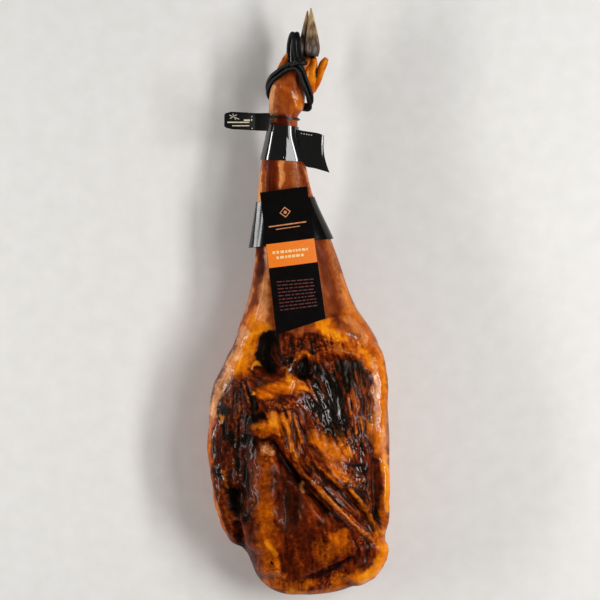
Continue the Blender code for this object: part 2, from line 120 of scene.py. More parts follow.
def smoothCurve(places, values, at):  # cubic curve that never swings past its values
    places, values, at = (np.asarray(part, float) for part in (places, values, at))
    step = np.diff(places)
    slope = np.diff(values) / step
    agree = slope[:-1] * slope[1:] > 0
    both = np.where(agree, slope[:-1] + slope[1:], 1.0)
    inner = np.where(agree, 2 * slope[:-1] * slope[1:] / both, 0.0)
    tangent = np.concatenate([slope[:1], inner, slope[-1:]])
    i = np.clip(np.searchsorted(places, at, side="right") - 1, 0, len(step) - 1)
    t = (at - places[i]) / step[i]
    start = (1 + 2 * t) * (1 - t) ** 2 * values[i] + t * (1 - t) ** 2 * step[i] * tangent[i]
    return start + t * t * (3 - 2 * t) * values[i + 1] - t * t * (1 - t) * step[i] * tangent[i + 1]


def eased(value, low, high):
    t = np.clip((np.asarray(value, float) - low) / (high - low), 0, 1)
    return t * t * (3 - 2 * t)


def roundedPath(points, each=6, closed=False):  # Catmull-Rom curve through the points
    points = np.asarray(points, float)
    if closed:
        padded = np.vstack([points[-1:], points, points[:2]])
    else:
        padded = np.vstack([2 * points[0] - points[1], points, 2 * points[-1] - points[-2]])
    t = np.linspace(0, 1, each, endpoint=False)[:, None]
    pieces = []
    for a, b, c, d in zip(padded, padded[1:], padded[2:], padded[3:]):
        bend = (2 * a - 5 * b + 4 * c - d) * t ** 2 + (3 * b - a - 3 * c + d) * t ** 3
        pieces.append(0.5 * (2 * b + (c - a) * t + bend))
    return np.vstack(pieces if closed else pieces + [padded[-2:-1]])


def waves(x, y, size, seed, count=256):  # smooth seeded unevenness from -1 to 1
    lattice = np.random.default_rng(seed).uniform(-1, 1, (count, count))
    u, v = x / size + count / 2, y / size + count / 2
    i, j = np.floor(u).astype(int), np.floor(v).astype(int)
    s, t = eased(u - i, 0, 1), eased(v - j, 0, 1)
    i, j = i % count, j % count
    iNext, jNext = (i + 1) % count, (j + 1) % count
    low = lattice[i, j] * (1 - s) + lattice[iNext, j] * s
    return low * (1 - t) + (lattice[i, jNext] * (1 - s) + lattice[iNext, jNext] * s) * t


def meshPiece(name, parts, materials):  # parts: vertices in millimetres, faces, material number
    verts, faces, kinds = [], [], []
    for points, quads, kind in parts:
        shift = sum(len(block) for block in verts)
        verts.append(np.asarray(points, float).reshape(-1, 3) * mm)
        faces += [[k + shift for k in quad] for quad in quads]
        kinds += [kind] * len(quads)
    mesh = bpy.data.meshes.new(name)
    mesh.from_pydata(np.vstack(verts).tolist(), [], faces)
    for material in materials:
        mesh.materials.append(material)
    mesh.polygons.foreach_set("material_index", kinds)
    shape = bmesh.new()
    shape.from_mesh(mesh)
    bmesh.ops.recalc_face_normals(shape, faces=shape.faces)
    shape.to_mesh(mesh)
    shape.free()
    mesh.shade_smooth()
    return placedObject(name, mesh)


def ringFaces(count, sides, closed=False):
    quads = []
    for i in range(count if closed else count - 1):
        n = (i + 1) % count
        for j in range(sides):
            k = (j + 1) % sides
            quads.append([i * sides + j, i * sides + k, n * sides + k, n * sides + j])
    if not closed:
        quads.append(list(range(sides)))
        quads.append([(count - 1) * sides + j for j in reversed(range(sides))])
    return quads


def gridNormals(points, closed):
    along = np.gradient(points, axis=0)
    if closed:
        over = np.roll(points, -1, axis=1) - np.roll(points, 1, axis=1)
    else:
        over = np.gradient(points, axis=1)
    normal = np.cross(along, over)
    return normal / np.maximum(np.linalg.norm(normal, axis=2, keepdims=True), 1e-9)


def sheetPart(grid, thickness, closed, kind=0, flip=1):  # thin solid sheet, thickened outwards
    count, sides = grid.shape[:2]
    upper = grid + flip * gridNormals(grid, closed) * thickness
    last = sides if closed else sides - 1
    half = count * sides
    quads = []
    for i in range(count - 1):
        for j in range(last):
            k = (j + 1) % sides
            one = [i * sides + j, i * sides + k, (i + 1) * sides + k, (i + 1) * sides + j]
            quads.append([v + half for v in one])
            quads.append(one[::-1])
    for i in (0, count - 1):
        for j in range(last):
            k = (j + 1) % sides
            quads.append([i * sides + j, i * sides + k, i * sides + k + half, i * sides + j + half])
    if not closed:
        for j in (0, sides - 1):
            for i in range(count - 1):
                a, b = i * sides + j, (i + 1) * sides + j
                quads.append([a, b, b + half, a + half])
    return np.vstack([grid.reshape(-1, 3), upper.reshape(-1, 3)]), quads, kind


def sharpen(piece, degrees):  # keeps the corners of thin sheets crisp
    piece.data.set_sharp_from_angle(angle=math.radians(degrees))


def asMesh(source, name):  # plain mesh of a curve or of an object with live modifiers
    bpy.context.view_layer.update()
    ready = source.evaluated_get(bpy.context.evaluated_depsgraph_get())
    mesh = bpy.data.meshes.new_from_object(ready)
    mesh.transform(source.matrix_world)
    bpy.data.objects.remove(source, do_unlink=True)
    return placedObject(name, mesh)


def joined(name, pieces):  # one object from several, materials kept
    shape = bmesh.new()
    materials = []
    for piece in pieces:
        start = len(shape.faces)
        shape.from_mesh(piece.data)
        shape.faces.ensure_lookup_table()
        own = list(piece.data.materials)
        materials += [m for m in own if m not in materials]
        for face in shape.faces[start:]:
            face.material_index = materials.index(own[face.material_index])
        bpy.data.objects.remove(piece, do_unlink=True)
    mesh = bpy.data.meshes.new(name)
    shape.to_mesh(mesh)
    shape.free()
    for material in materials:
        mesh.materials.append(material)
    return placedObject(name, mesh)


def newTree(name, inputs):  # Geometry Nodes tree with named inputs and their kinds of socket
    tree = bpy.data.node_groups.new(name, "GeometryNodeTree")
    for socket, kind in (("Geometry", "Geometry"), *inputs, ("Material", "Material")):
        tree.interface.new_socket(socket, in_out="INPUT", socket_type="NodeSocket" + kind)
    tree.interface.new_socket("Geometry", in_out="OUTPUT", socket_type="NodeSocketGeometry")
    return tree, addNode(tree, "NodeGroupInput").outputs


def endTree(tree, geometry, given):
    whole = addNode(tree, "GeometryNodeRealizeInstances", {"Geometry": geometry}).outputs[0]
    dressed = addNode(tree, "GeometryNodeSetMaterial", {"Geometry": whole, "Material": given["Material"]})
    addNode(tree, "NodeGroupOutput", {"Geometry": dressed.outputs[0]})
    return tree


def curveMesh(name, path, closed, tree, values):  # plain mesh that a tree makes round a path
    curve = bpy.data.curves.new(name, "CURVE")
    curve.dimensions = "3D"
    line = curve.splines.new("POLY")
    line.points.add(len(path) - 1)
    for point, spot in zip(line.points, path * mm):
        point.co = (*spot, 1)
    line.use_cyclic_u = closed
    thing = placedObject(name, curve)
    modifier = thing.modifiers.new(name, "NODES")
    modifier.node_group = tree
    for item in tree.interface.items_tree:
        if item.item_type == "SOCKET" and item.in_out == "INPUT" and item.name in values:
            modifier[item.identifier] = values[item.name]
    return asMesh(thing, name)


def finishPiece(piece, node):
    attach(piece, "root")
    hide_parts(node)


# The ham.

# Sections of the leg: place along Y, left, right, underside, upper side (millimetres).
hamShape = {
    "sections": (
        (-427, -14, 18, 51, 60), (-425, -24, 40, 46, 66), (-419, -40, 67, 37, 73),
        (-409, -53, 91, 28, 81), (-396, -63, 111, 19, 90), (-381, -69, 123, 12, 98),
        (-364, -77, 128, 8, 104), (-357, -84, 127, 7, 107), (-350, -99, 126, 6, 109),
        (-332, -109, 126, 3, 114), (-303, -118, 130, 0, 121), (-259, -127, 132, -3, 126),
        (-204, -132, 132, -3, 129), (-150, -130, 129, -3, 128), (-122, -125, 127, -2, 126),
        (-95, -112, 124, 0, 123), (-61, -95, 116, 5, 118), (-38, -88, 104, 9, 114),
        (-9, -78, 84, 15, 110), (18, -71, 72, 21, 106), (54, -65, 60, 31, 102),
        (90, -62, 47, 37, 100), (156, -60, 20, 44, 95), (207, -54, 8, 47, 93),
        (252, -45, -2, 50, 92), (268, -44, -2, 50, 92), (283, -44, 7, 47, 94),
        (301, -43, 9, 45, 96), (318, -37, 8, 45, 96), (332, -26, 12, 46, 96),
        (343, -15, 22, 47, 95), (350, -8.5, 26, 48.5, 93.5), (356, -1, 25, 53, 88),
    ),
    "widestAt": 0.46, "upperRoundness": 2.4, "underRoundness": 2.0,
    "upperSteps": 206, "underSteps": 36,
    "endRows": 14, "endReach": 22, "meatRow": 1.75,
    "shankStart": -18, "shankRow": 3.6, "footStart": 252, "footRow": 2.2,
}

# Main relief of the meat side, the same as in the solids: path, half width, height or depth.
# Here and below a path is written x, y, x, y and so on, in millimetres.
meatForms = {
    "ridges": (
        ((22, -80, 42, -71, 68, -73, 92, -78), 8, 7),
        ((-72, -182, -50, -177, -33, -172, -24, -160), 10, 10), ((-24, -165, -12, -200, -4, -232), 6, 5),
        ((4, -244, 32, -272, 62, -303, 100, -341), 8, 8), ((30, -228, 48, -248, 68, -268), 8, 6),
        ((70, -266, 88, -288, 104, -314, 119, -342), 7, 8),
        ((-46, -210, -48, -290, -50, -350, -36, -402), 20, 9), ((118, -55, 119, -130, 113, -214), 10, 7),
        ((123, -226, 124, -280, 121, -334), 7, 6), ((117, -346, 119, -370, 104, -392, 70, -404), 12, 8),
        ((-124, -165, -122, -230, -114, -285, -100, -345), 9, 7),
        ((-104, -104, -92, -74, -76, -52, -52, -40), 10, 6), ((-52, -106, -34, -118, -8, -128), 12, 6),
    ),
    "folds": (
        ((-46, -197, -30, -215, -6, -251, 20, -281, 50, -320), 8, 12),
        ((111, -218, 112, -270, 110, -330), 7, 8), ((4, -408, 32, -396, 56, -385, 80, -369), 7, 6),
        ((-94, -316, -89, -336, -84, -362), 7, 11), ((62, -262, 84, -296, 108, -330), 6, 5),
    ),
    "hollows": (
        ((-45, -73), (16, 27), 15), ((8, -96), (15, 15), 12), ((42, -150), (38, 46), 8),
        ((-12, -286), (18, 40), 8), ((-88, -232), (18, 62), 7), ((-93, -288), (13, 20), 12),
        ((90, -250), (16, 34), 5),
    ),
    "cragSize": 24, "cragHeight": 1.8, "cragSeed": 11, "edge": -46, "fade": 34,
}

# Strands of fat and sinew that stand up from the meat: path, half width, rise, how fat.
strands = (
    ((-5, -84, 2, -75, 10, -73, 17, -78), 3, 2.2, 0.9),
    ((20, -81, 30, -74, 42, -72, 66, -73, 90, -79), 3.0, 1.5, 0.15),
    ((-66, -97, -62, -90, -55, -88), 3, 2.0, 1.0), ((-69, -133, -63, -130), 2.6, 1.9, 1.0),
    ((-17, -96, -16, -104, -12, -113, -2, -115), 3, 2.4, 1.0), ((-27, -96, -20, -94), 2.4, 1.2, 0.9),
    ((-22, -163, -16, -188, -10, -214, -4, -230), 2.6, 1.8, 0.9),
    ((-10, -163, -4, -180, 2, -196, -1, -220), 3.2, 1.6, 0.8),
    ((-70, -182, -58, -178, -44, -186, -28, -190), 3, 1.4, 0.8),
    ((5, -244, 25, -266, 45, -288, 62, -304, 74, -314, 101, -341), 3.4, 1.6, 0.75),
    ((14, -268, 30, -286, 48, -306), 2.2, 0.9, 0.4),
    ((12, -216, 26, -234, 44, -252, 62, -266), 2.4, 1.0, 0.4),
    ((8, -226, 22, -246, 36, -262, 58, -284, 80, -304, 104, -330), 2.2, 1.0, 0.45),
    ((36, -244, 54, -262, 76, -284, 94, -306, 110, -334), 2.0, 0.9, 0.4),
    ((70, -267, 80, -280, 92, -295, 104, -312, 118, -338), 4.0, 2.2, 1.0),
    ((-97, -206, -98, -220, -93, -240), 1.6, 1.1, 0.6),
    ((-111, -244, -107, -258, -99, -272), 2.2, 1.2, 0.7),
    ((-96, -240, -92, -260, -87, -274), 1.8, 1.1, 0.6), ((-94, -160, -91, -178, -93, -196), 2.0, 1.0, 0.35),
    ((-104, -278, -106, -300, -100, -320, -93, -348), 3.2, 1.8, 0.4),
    ((-84, -303, -86, -318, -89, -332), 2.4, 1.5, 0.4), ((-80, -289, -70, -286, -65, -290), 1.8, 1.2, 0.7),
    ((-67, -262, -66, -290, -68, -318), 2.0, 0.8, 0.35), ((78, -118, 84, -140, 84, -172), 2.2, 1.1, 0.3),
    ((88, -112, 94, -134, 98, -158), 2.2, 1.0, 0.3), ((72, -140, 76, -160, 72, -186), 2.0, 1.0, 0.4),
    ((82, -186, 74, -204, 68, -222), 2.0, 1.2, 0.7), ((119, -280, 121, -304, 121, -334), 3.2, 1.4, 0.8),
    ((-80, -122, -76, -134, -72, -146), 2.0, 1.2, 0.8), ((-86, -150, -88, -166), 2.0, 1.0, 0.7),
    ((-55, -332, -48, -346, -36, -364, -31, -384, -22, -400), 5, 1.6, 0.9),
    ((-8, -342, -2, -372, 8, -396), 3, 0.8, 0.3), ((20, -352, 26, -372, 40, -388), 3, 0.8, 0.4),
    ((-20, -424, 10, -425, 44, -421, 80, -410), 4, 0.8, 0.9), ((1, -302, 4, -316), 2, 0.9, 0.7),
    ((2, -262, 6, -274), 2.6, 2.4, 0.9), ((-24, 316, -16, 306, -8, 292, -2, 280), 3.0, 1.3, 0.3),
    ((-34, 302, -26, 288, -24, 272), 2.6, 0.9, 0.1), ((-8, 314, 0, 300, 4, 288), 2.4, 1.0, 0.3),
    ((-38, 292, -30, 278, -18, 270), 2.2, 0.7, 0.1),
)

# Slits, tears and creases: path, half width, depth, how dark (mostly painted shade down in the crease).
slits = (
    ((-34, -203, -30, -222, -20, -240, -4, -259, 10, -276, 28, -290, 42, -304), 3.0, 1.6, 0.6),
    ((-64, -207, -56, -200, -47, -197), 3.2, 1.8, 1.0), ((66, -234, 78, -238, 93, -238), 3.0, 2.0, 1.0),
    ((86, -192, 90, -206, 94, -218), 2.6, 2.0, 1.0),
    ((5, -408, 20, -401, 40, -393, 56, -385, 78, -369), 2.4, 2.4, 0.9),
    ((-85, -338, -84, -350, -82, -360), 2.4, 1.8, 0.8),
    ((32, -254, 52, -276, 74, -298, 92, -318), 2.0, 1.2, 0.45),
    ((62, -270, 78, -288, 96, -308, 110, -330), 2.4, 1.6, 0.6),
    ((96, -100, 102, -126, 104, -150, 103, -170), 2.6, 1.8, 0.8),
    ((18, -71, 22, -76, 25, -70), 2.4, 1.8, 0.9),
    ((-104, -208, -94, -198, -84, -206, -72, -196), 4.0, 1.4, 0.7),
    ((-93, -212, -90, -226, -92, -238), 3.0, 2.0, 0.9), ((-119, -236, -117, -256), 3.4, 1.8, 0.9),
    ((-80, -236, -78, -256, -74, -280), 3.4, 2.0, 0.9),
    ((-102, -246, -100, -262, -93, -276), 2.0, 1.6, 0.8),
    ((-66, -214, -68, -236, -67, -260), 2.2, 1.4, 0.7), ((-110, -176, -106, -190), 4.0, 1.8, 0.9),
    ((-14, -176, -6, -200, 2, -226), 2.0, 1.4, 0.6), ((-28, -198, -20, -216, -12, -232), 2.2, 1.2, 0.5),
    ((-76, -112, -72, -128), 3.0, 1.6, 0.9), ((58, -130, 64, -160, 70, -186), 2.0, 1.6, 0.7),
    ((28, -118, 40, -150, 52, -190), 2.4, 1.6, 0.7), ((8, -132, 18, -158, 34, -186), 2.2, 1.4, 0.6),
    ((86, -66, 96, -72, 104, -72), 1.2, 1.0, 0.4), ((100, -338, 90, -352, 84, -366), 2.0, 1.2, 0.5),
    ((-97, -310, -92, -326), 1.8, 1.4, 0.6), ((18, -340, 16, -360, 19, -378), 1.8, 0.8, 0.5),
)

# Fields of finish on the meat side: path or point, half width, amount.
meatFields = {
    "fat": (  # amber, half dry fat
        ((-62, -20, -68, -45, -74, -70, -84, -98), 14, 1.0),
        ((-106, -104, -122, -150, -130, -200, -131, -250, -122, -300, -104, -345), 5, 0.8),
        ((-48, -132, -30, -123, -10, -119, 4, -122), 11, 1.0), ((-38, -148, -20, -150), 5, 0.5),
        ((-36, -166, -36, -180, -50, -185), 9, 1.0), ((-20, -172, -8, -206), 12, 0.4),
        ((-50, -216, -48, -262, -48, -300), 15, 0.28),
        ((-48, -300, -48, -330, -46, -372, -38, -404), 15, 0.48),
        ((26, -198, 46, -206, 62, -218), 14, 0.85), ((40, -224, 54, -238, 64, -250), 8, 0.9),
        ((34, -36, 58, -52, 80, -66, 102, -92), 11, 1.0), ((44, -30, 30, -34), 8, 1.0),
        ((72, -20, 96, -44, 112, -80, 118, -140, 118, -215), 12, 1.0),
        ((108, -118, 106, -160, 104, -196), 5, 0.7), ((123, -222, 127, -262), 6, 0.9),
        ((126, -270, 124, -330), 6, 0.55), ((116, -342, 121, -366, 110, -392, 84, -404, 56, -408), 11, 1.0),
        ((62, -338, 56, -342), 12, 1.0), ((48, -360, 66, -352), 12, 0.45),
        ((14, -408, -14, -414, -40, -404), 9, 0.45), ((90, -176, 100, -180), 9, 0.6),
        ((70, -252, 82, -262, 92, -258), 6, 0.45), ((30, -352, 34, -376), 10, 0.35),
    ),
    "gold": (  # clear yellow fat
        ((40, -29, 30, -33, 40, -40, 60, -52), 6, 0.9), ((88, -64, 100, -78, 104, -92), 6, 0.7),
        ((118, -62, 122, -110, 122, -160, 121, -214), 8, 0.35), ((127, -226, 128, -262, 128, -300), 5, 0.9),
        ((124, -350, 121, -372, 110, -390, 92, -401), 8, 0.65), ((-36, -165, -35, -178), 6, 0.9),
        ((44, -208, 52, -216), 9, 0.3), ((-14, -112, -8, -120), 5, 0.6),
        ((-66, -96, -61, -90, -55, -88), 3.2, 1.0), ((-69, -133, -64, -130), 2.6, 1.0),
        ((-66, -28, -76, -60, -86, -92), 11, 0.6), ((-112, -166, -114, -172), 4, 0.8),
        ((-48, -345, -34, -368), 4, 0.6), ((-16, -423, 4, -426), 4, 0.6),
    ),
    "pale": (  # thin dry pale skin, and painted sheen and highlights on the rims, knobs and ridges
        ((-80, -44, -90, -72, -102, -98, -112, -118, -120, -140, -126, -158), 7, 0.9),
        ((72, -26, 84, -38, 96, -54), 7, 0.5), ((108, -84, 112, -112, 112, -140), 4.2, 0.75),
        ((112, -136, 111, -158, 112, -176), 2.8, 0.4), ((121, -184, 124, -214, 126, -232), 3.6, 0.45),
        ((-48, -212, -40, -218), 6, 0.5), ((2, -262, 5, -272), 3, 0.7),
    ),
    "blackMeatAndShade": (  # dark dried meat, and the hollows painted near black as shade
        ((-44, -48, -50, -66, -47, -82, -40, -94), 9, 0.95), ((-58, -76, -52, -88), 5, 0.7),
        ((-32, -74, -24, -92), 5, 0.55), ((-38, -46, -34, -60), 8, 0.75), ((-24, -84, -14, -82), 5, 0.8),
        ((8, -96, 8, -97), 14, 1.0), ((28, -96, 36, -104), 9, 0.7),
        ((60, -90, 68, -104, 72, -122), 10, 0.95), ((82, -88, 90, -102, 94, -118), 6, 0.6),
        ((26, -116, 30, -140, 38, -168), 8, 0.55), ((46, -116, 52, -150, 57, -182), 13, 1.0),
        ((38, -150, 46, -178), 9, 0.9), ((12, -148, 20, -168), 7, 0.35),
        ((-76, -128, -68, -140, -66, -152), 7, 0.8), ((-110, -157, -104, -158), 6, 1.0),
        ((-74, -168, -52, -166), 6, 1.0), ((-110, -176, -104, -192), 6, 0.9),
        ((-98, -192, -92, -208, -80, -198, -66, -206, -60, -198), 7, 0.8), ((-90, -222, -90, -240), 7, 0.7),
        ((-119, -240, -118, -254), 5, 0.8), ((-79, -244, -76, -270), 6, 0.7),
        ((-96, -276, -93, -298), 9, 1.0), ((-80, -296, -78, -312), 6, 0.9),
        ((112, -300, 110, -312), 4, 0.9), ((98, -244, 92, -238), 5, 0.6), ((88, -276, 94, -290), 4, 0.7),
        ((-37, -380, -36, -381), 3, 0.7), ((-2, -392, 4, -388), 3, 0.5),
    ),
    "wine": (  # lean, dark red meat
        ((52, -22, 54, -30), 9, 0.9), ((-46, -98, -24, -102), 10, 0.8), ((-34, -66, -24, -84), 9, 0.7),
        ((-84, -106, -90, -110), 6, 0.7), ((94, -196, 98, -214), 9, 0.8), ((84, -122, 96, -160), 10, 0.8),
        ((6, -202, 14, -232), 12, 0.5), ((-82, -220, -104, -228), 10, 0.6),
        ((-6, -330, 4, -362, 14, -380), 16, 0.15), ((96, -352, 88, -366), 9, 0.5),
        ((-56, -392, -40, -408), 7, 0.4),
    ),
    "darkMeatAndShade": (  # lean meat darkened all through, and painted shade in hollows, valleys, folds and grooves
        ((-96, -132, -92, -180, -96, -220, -90, -262, -86, -296), 25, 0.88),
        ((-122, -190, -122, -250, -112, -300, -98, -345), 8, 0.45),
        ((-30, 300, -14, 296, -6, 312), 10, 0.25), ((-50, -104, -22, -96, -14, -82), 14, 0.8),
        ((-42, -54, -46, -92), 18, 0.85), ((-30, -70, -16, -90), 9, 0.6),
        ((-14, -250, -10, -286, -8, -320), 19, 0.8), ((-26, -218, -8, -246, 16, -272, 38, -296), 9, 0.45),
        ((10, -204, 14, -236), 14, 0.4), ((84, -240, 98, -270, 102, -300), 15, 0.55),
        ((98, -198, 100, -216), 9, 0.8), ((34, -118, 44, -150, 54, -182), 24, 0.65),
        ((60, -90, 84, -96, 98, -130, 100, -168), 14, 0.7), ((111, -226, 112, -270, 111, -328), 6, 0.6),
        ((98, -350, 86, -368), 12, 0.5), ((-86, -330, -82, -358), 7, 0.9),
        ((-58, -160, -66, -172), 12, 0.6), ((-66, -208, -52, -198), 9, 0.8),
    ),
    "dry": (  # matt hollows
        ((-42, -46, -47, -74, -42, -98), 20, 1.0), ((8, -95, 9, -97), 14, 0.7),
        ((-96, -272, -92, -300), 12, 1.0), ((-12, -258, -10, -290, -6, -316), 17, 0.7),
        ((112, -230, 112, -270, 111, -330), 5, 0.8), ((-34, -203, -20, -238, 10, -276, 42, -304), 6, 0.6),
        ((60, -92, 84, -96, 96, -124), 11, 0.5), ((-96, -140, -94, -200, -90, -260), 16, 0.4),
        ((-90, -330, -84, -360), 8, 0.8),
    ),
    "crumb": (  # torn, crumbly lean with small wet bits
        ((-40, -148, -16, -148, 8, -144), 9, 1.0), ((18, -122, 24, -148, 34, -178), 11, 1.0),
        ((-82, -122, -74, -140, -68, -150), 11, 0.9), ((70, -200, 84, -206), 15, 0.8),
        ((74, -250, 90, -270, 98, -296), 15, 0.8), ((4, -62, 30, -62, 52, -58), 12, 0.8),
        ((-24, -76, -12, -86), 10, 0.8), ((44, -92, 48, -104), 10, 1.0), ((-50, -216, -42, -224), 8, 0.6),
        ((-98, -150, -92, -200, -98, -250, -90, -290), 20, 0.55), ((-40, -392, -22, -402), 12, 0.5),
        ((40, -404, 60, -392), 10, 0.6), ((8, -96, 10, -98), 12, 0.8), ((84, -330, 96, -356), 11, 0.6),
    ),
    "oil": (  # wet, rubbed with oil
        ((112, -64, 115, -100, 113, -160, 116, -210), 9, 1.0),
        ((-84, -52, -98, -86, -112, -112, -122, -148, -128, -190), 10, 1.0),
        ((122, -226, 125, -262), 6, 0.9), ((-36, -166, -34, -180), 8, 1.0), ((-14, -100, -8, -116), 9, 1.0),
        ((48, -206, 60, -220), 14, 0.35), ((36, -140, 52, -160), 26, 1.0), ((80, -206, 78, -262), 16, 0.8),
        ((112, -388, 96, -400), 9, 1.0), ((-40, -148, 6, -146), 12, 0.9),
        ((20, -262, 64, -308, 104, -338), 12, 0.7), ((-100, -206, -104, -262), 14, 0.9),
        ((76, -46, 94, -60), 9, 0.8),
    ),
}

# How fibrous the meat is: path, half width, amount.
meatStreaks = (
    ((-10, -60, 50, -60), 20, 0.8), ((24, -118, 40, -150, 54, -186), 28, 1.3),
    ((84, -110, 92, -176), 16, 1.0), ((-92, -150, -92, -290), 26, 0.5), ((-16, -170, 2, -226), 18, 1.0),
    ((12, -240, 56, -290, 100, -336), 17, 0.7), ((72, -262, 112, -330), 14, 0.7),
    ((72, -20, 96, -44, 110, -80), 18, 0.1), ((64, -206, 88, -206), 14, 1.0),
    ((-48, -226, -50, -320, -44, -390), 17, 0.14), ((0, -290, 6, -392), 30, 0.14),
    ((56, -340, 40, -380), 24, 0.25), ((44, -206, 58, -222), 14, 0.25), ((-34, -124, -8, -118), 11, 0.35),
    ((-36, -168, -40, -184), 10, 0.3), ((118, -70, 122, -150, 122, -230, 124, -320), 11, 0.15),
    ((120, -350, 112, -388, 70, -406), 12, 0.22), ((-68, -30, -78, -80), 14, 0.3),
    ((-20, -412, 60, -412), 9, 0.4), ((86, -350, 96, -360), 12, 0.7),
)

# Lengthwise streaks of the shank and marks on the foot, by finish: path, half width, amount.
shankFields = {
    "fat": (
        ((-26, 304, -10, 300, -4, 284), 15, 0.4), ((-28, 340, -20, 358), 8, 0.6),
        ((20, 306, 20, 330, 23, 350), 10, 0.95), ((12, 322, 15, 342), 8, 0.95),
        ((28, 316, 36, 342, 40, 354), 8, 0.9),
    ),
    "oil": (
        ((-41, 310, -40, 290, -40, 272), 6, 1.0), ((-8, 300, -2, 288), 8, 0.9),
        ((-24, 206, -25, 160), 6, 0.9), ((14, 334, 16, 326), 6, 0.9),
    ),
    # dark red lean streaks, and painted shade: the dark band beside the shank's highlight, under the card's
    # left edge, between strap and band and beside the cord
    "wine": (
        ((-40, 204, -40, 184, -42, 158), 9, 0.85), ((2, 204, 6, 180, 12, 160), 3, 0.6),
        ((-55, 80, -56, 40), 7, 0.9), ((-58, 30, -66, -2, -74, -22), 7, 0.5),
        ((30, 96, 36, 60, 42, 28, 52, -4, 60, -22), 8, 0.6), ((-38, 263, -26, 261), 11, 0.95),
        ((-30, 330, -10, 334, 4, 330), 8, 0.7),
    ),
    "dry": (
        ((28, 100, 34, 60, 42, 28, 54, -6), 10, 0.85), ((-56, 80, -56, 40), 7, 0.8),
        ((-42, 204, -44, 158), 8, 0.5), ((4, 204, 10, 160), 4, 0.5),
    ),
    # painted shade: under the card's left edge, between strap and band, beside the shank's highlight and
    # under the knot
    "darkMeatAndShade": (
        ((-56, 80, -56, 56, -58, 34), 7, 0.7), ((-38, 264, -26, 262), 10, 0.6),
        ((-40, 204, -40, 158), 8, 0.35), ((-4, 350, 14, 352), 8, 0.9),
    ),
    # painted shade: black under the knot where the foot meets the claws, and a dark line in the crease
    # between the pads
    "blackMeatAndShade": (
        ((-4, 352, 8, 354, 26, 359), 6, 0.9), ((27, 352, 25, 338, 24.5, 326), 1.6, 0.8),
    ),
    # painted highlights and sheen on the shank's rims and middle and on the foot's left side; the last one is
    # the pale tip of the left toe's nail
    "pale": (
        ((-56, 204, -59, 170, -58, 148), 4, 1.0), ((-40, 312, -39.5, 290, -38.5, 268), 5.5, 1.0),
        ((-24, 206, -25, 166), 3.5, 0.8), ((-8, 204, -6, 168), 8, 0.2), ((10, 190, 16, 160), 3, 0.5),
        ((-47, 76, -46, 48, -50, 20), 4, 0.6), ((-50, 22, -52, 2, -54, -20), 9, 0.6),
        ((46, 90, 54, 52, 62, 20, 74, -12), 8, 0.25), ((-66, 62, -70, 20, -80, -16), 4, 0.5),
        ((-20, 361, -17, 366), 4, 1.0),
    ),
    "gold": (
        ((64, 36, 74, 4, 90, -26), 6, 0.55), ((-62, -26, -48, -40), 10, 0.6), ((-6, 296, -2, 286), 7, 0.4),
        ((22, 320, 24, 350), 4, 0.5), ((32, 328, 38, 350), 4, 0.5),
    ),
}

# Which way the fibres run: guide lines, all drawn towards the thick end.
fibreGuides = (
    (0, -20, 0, -90), (20, -112, 34, -148, 50, -190), (80, -100, 88, -140, 92, -186),
    (104, -30, 120, -90, 124, -200, 127, -330), (4, -244, 32, -272, 62, -303, 100, -341),
    (30, -228, 48, -248, 68, -268), (-66, -20, -92, -74, -112, -120, -128, -165),
    (-128, -180, -126, -240, -110, -300, -96, -350), (-46, -212, -50, -300, -46, -400),
    (-90, -160, -92, -240, -86, -300), (-22, -164, -12, -200, -4, -232), (122, -350, 112, -390, 70, -410),
    (0, -300, 4, -400), (-56, -110, -30, -122, 0, -126), (-30, 260, -22, 160, -20, 60, -30, -30),
    (4, 230, 24, 150, 50, 60, 88, -30), (-50, 230, -60, 120, -68, 30, -86, -30), (-20, 350, -18, 280),
    (60, -330, 64, -380),
)

toes = {
    "rings": 24, "sides": 28, "uneven": 0.25,
    "spines": {  # spine, radius along it
        "leftToe": (((-27, 322, 74), (-27, 336, 79), (-21, 350, 81), (-18, 361, 82)), (7.0, 5.6, 4.6, 2.0)),
        "innerPad": (((20, 303, 74), (18, 316, 79), (17.5, 331, 86), (21, 345, 90), (23, 354, 92)),
                     (2.2, 6.2, 8.6, 6.2, 2.6)),
        "outerPad": (((22, 306, 70), (26, 319, 74), (30, 332, 79), (35, 345, 83), (40, 354, 85)),
                     (2.2, 5.0, 6.0, 6.0, 3.2)),
    },
}


# Fine unevenness: size, seed, amount. Fibres: size, length, seed, height, tone.
unevenness = {
    "warpX": ((13, 21, 2.6), (5.5, 22, 1.5), (3, 23, 0.8)),
    "warpY": ((13, 24, 2.6), (5.5, 25, 1.5), (3, 26, 0.8)),
    "blackMeatAndShade": ((6.5, 48, 0.5), (3.4, 49, 0.35)), "skin": ((9, 43, 0.7), (4.5, 44, 0.45)),
    "crumb": ((4.2, 45, 1.1), (2.6, 46, 0.9)),
    "fibres": ((3.8, 15, 41, 0.45, 0.20), (2.2, 9, 42, 0.45, 0.14)), "tears": (3.8, 15, 47),
    "skinHeight": 0.10, "meatHeight": 0.55, "lineHeight": 0.7, "wineDepth": 0.25,
}

# How the fields of finish are laid on the ham.
hamLook = {
    "topSide": (-0.3, 0.42), "topUneven": (0.2, 14, 33),  # the shown side: how it ends, share, size, seed
    "fatLines": (0.75, 2.5, 0.5), "creaseShade": (0.8, 2, 0.55),  # share, power, raggedness
    "tears": (0.1925, 1.2, 0.02), "fatOverChar": 0.5,  # share, limit, edge
    "hollowScale": 1.6, "hollowLimit": 1.5,
}

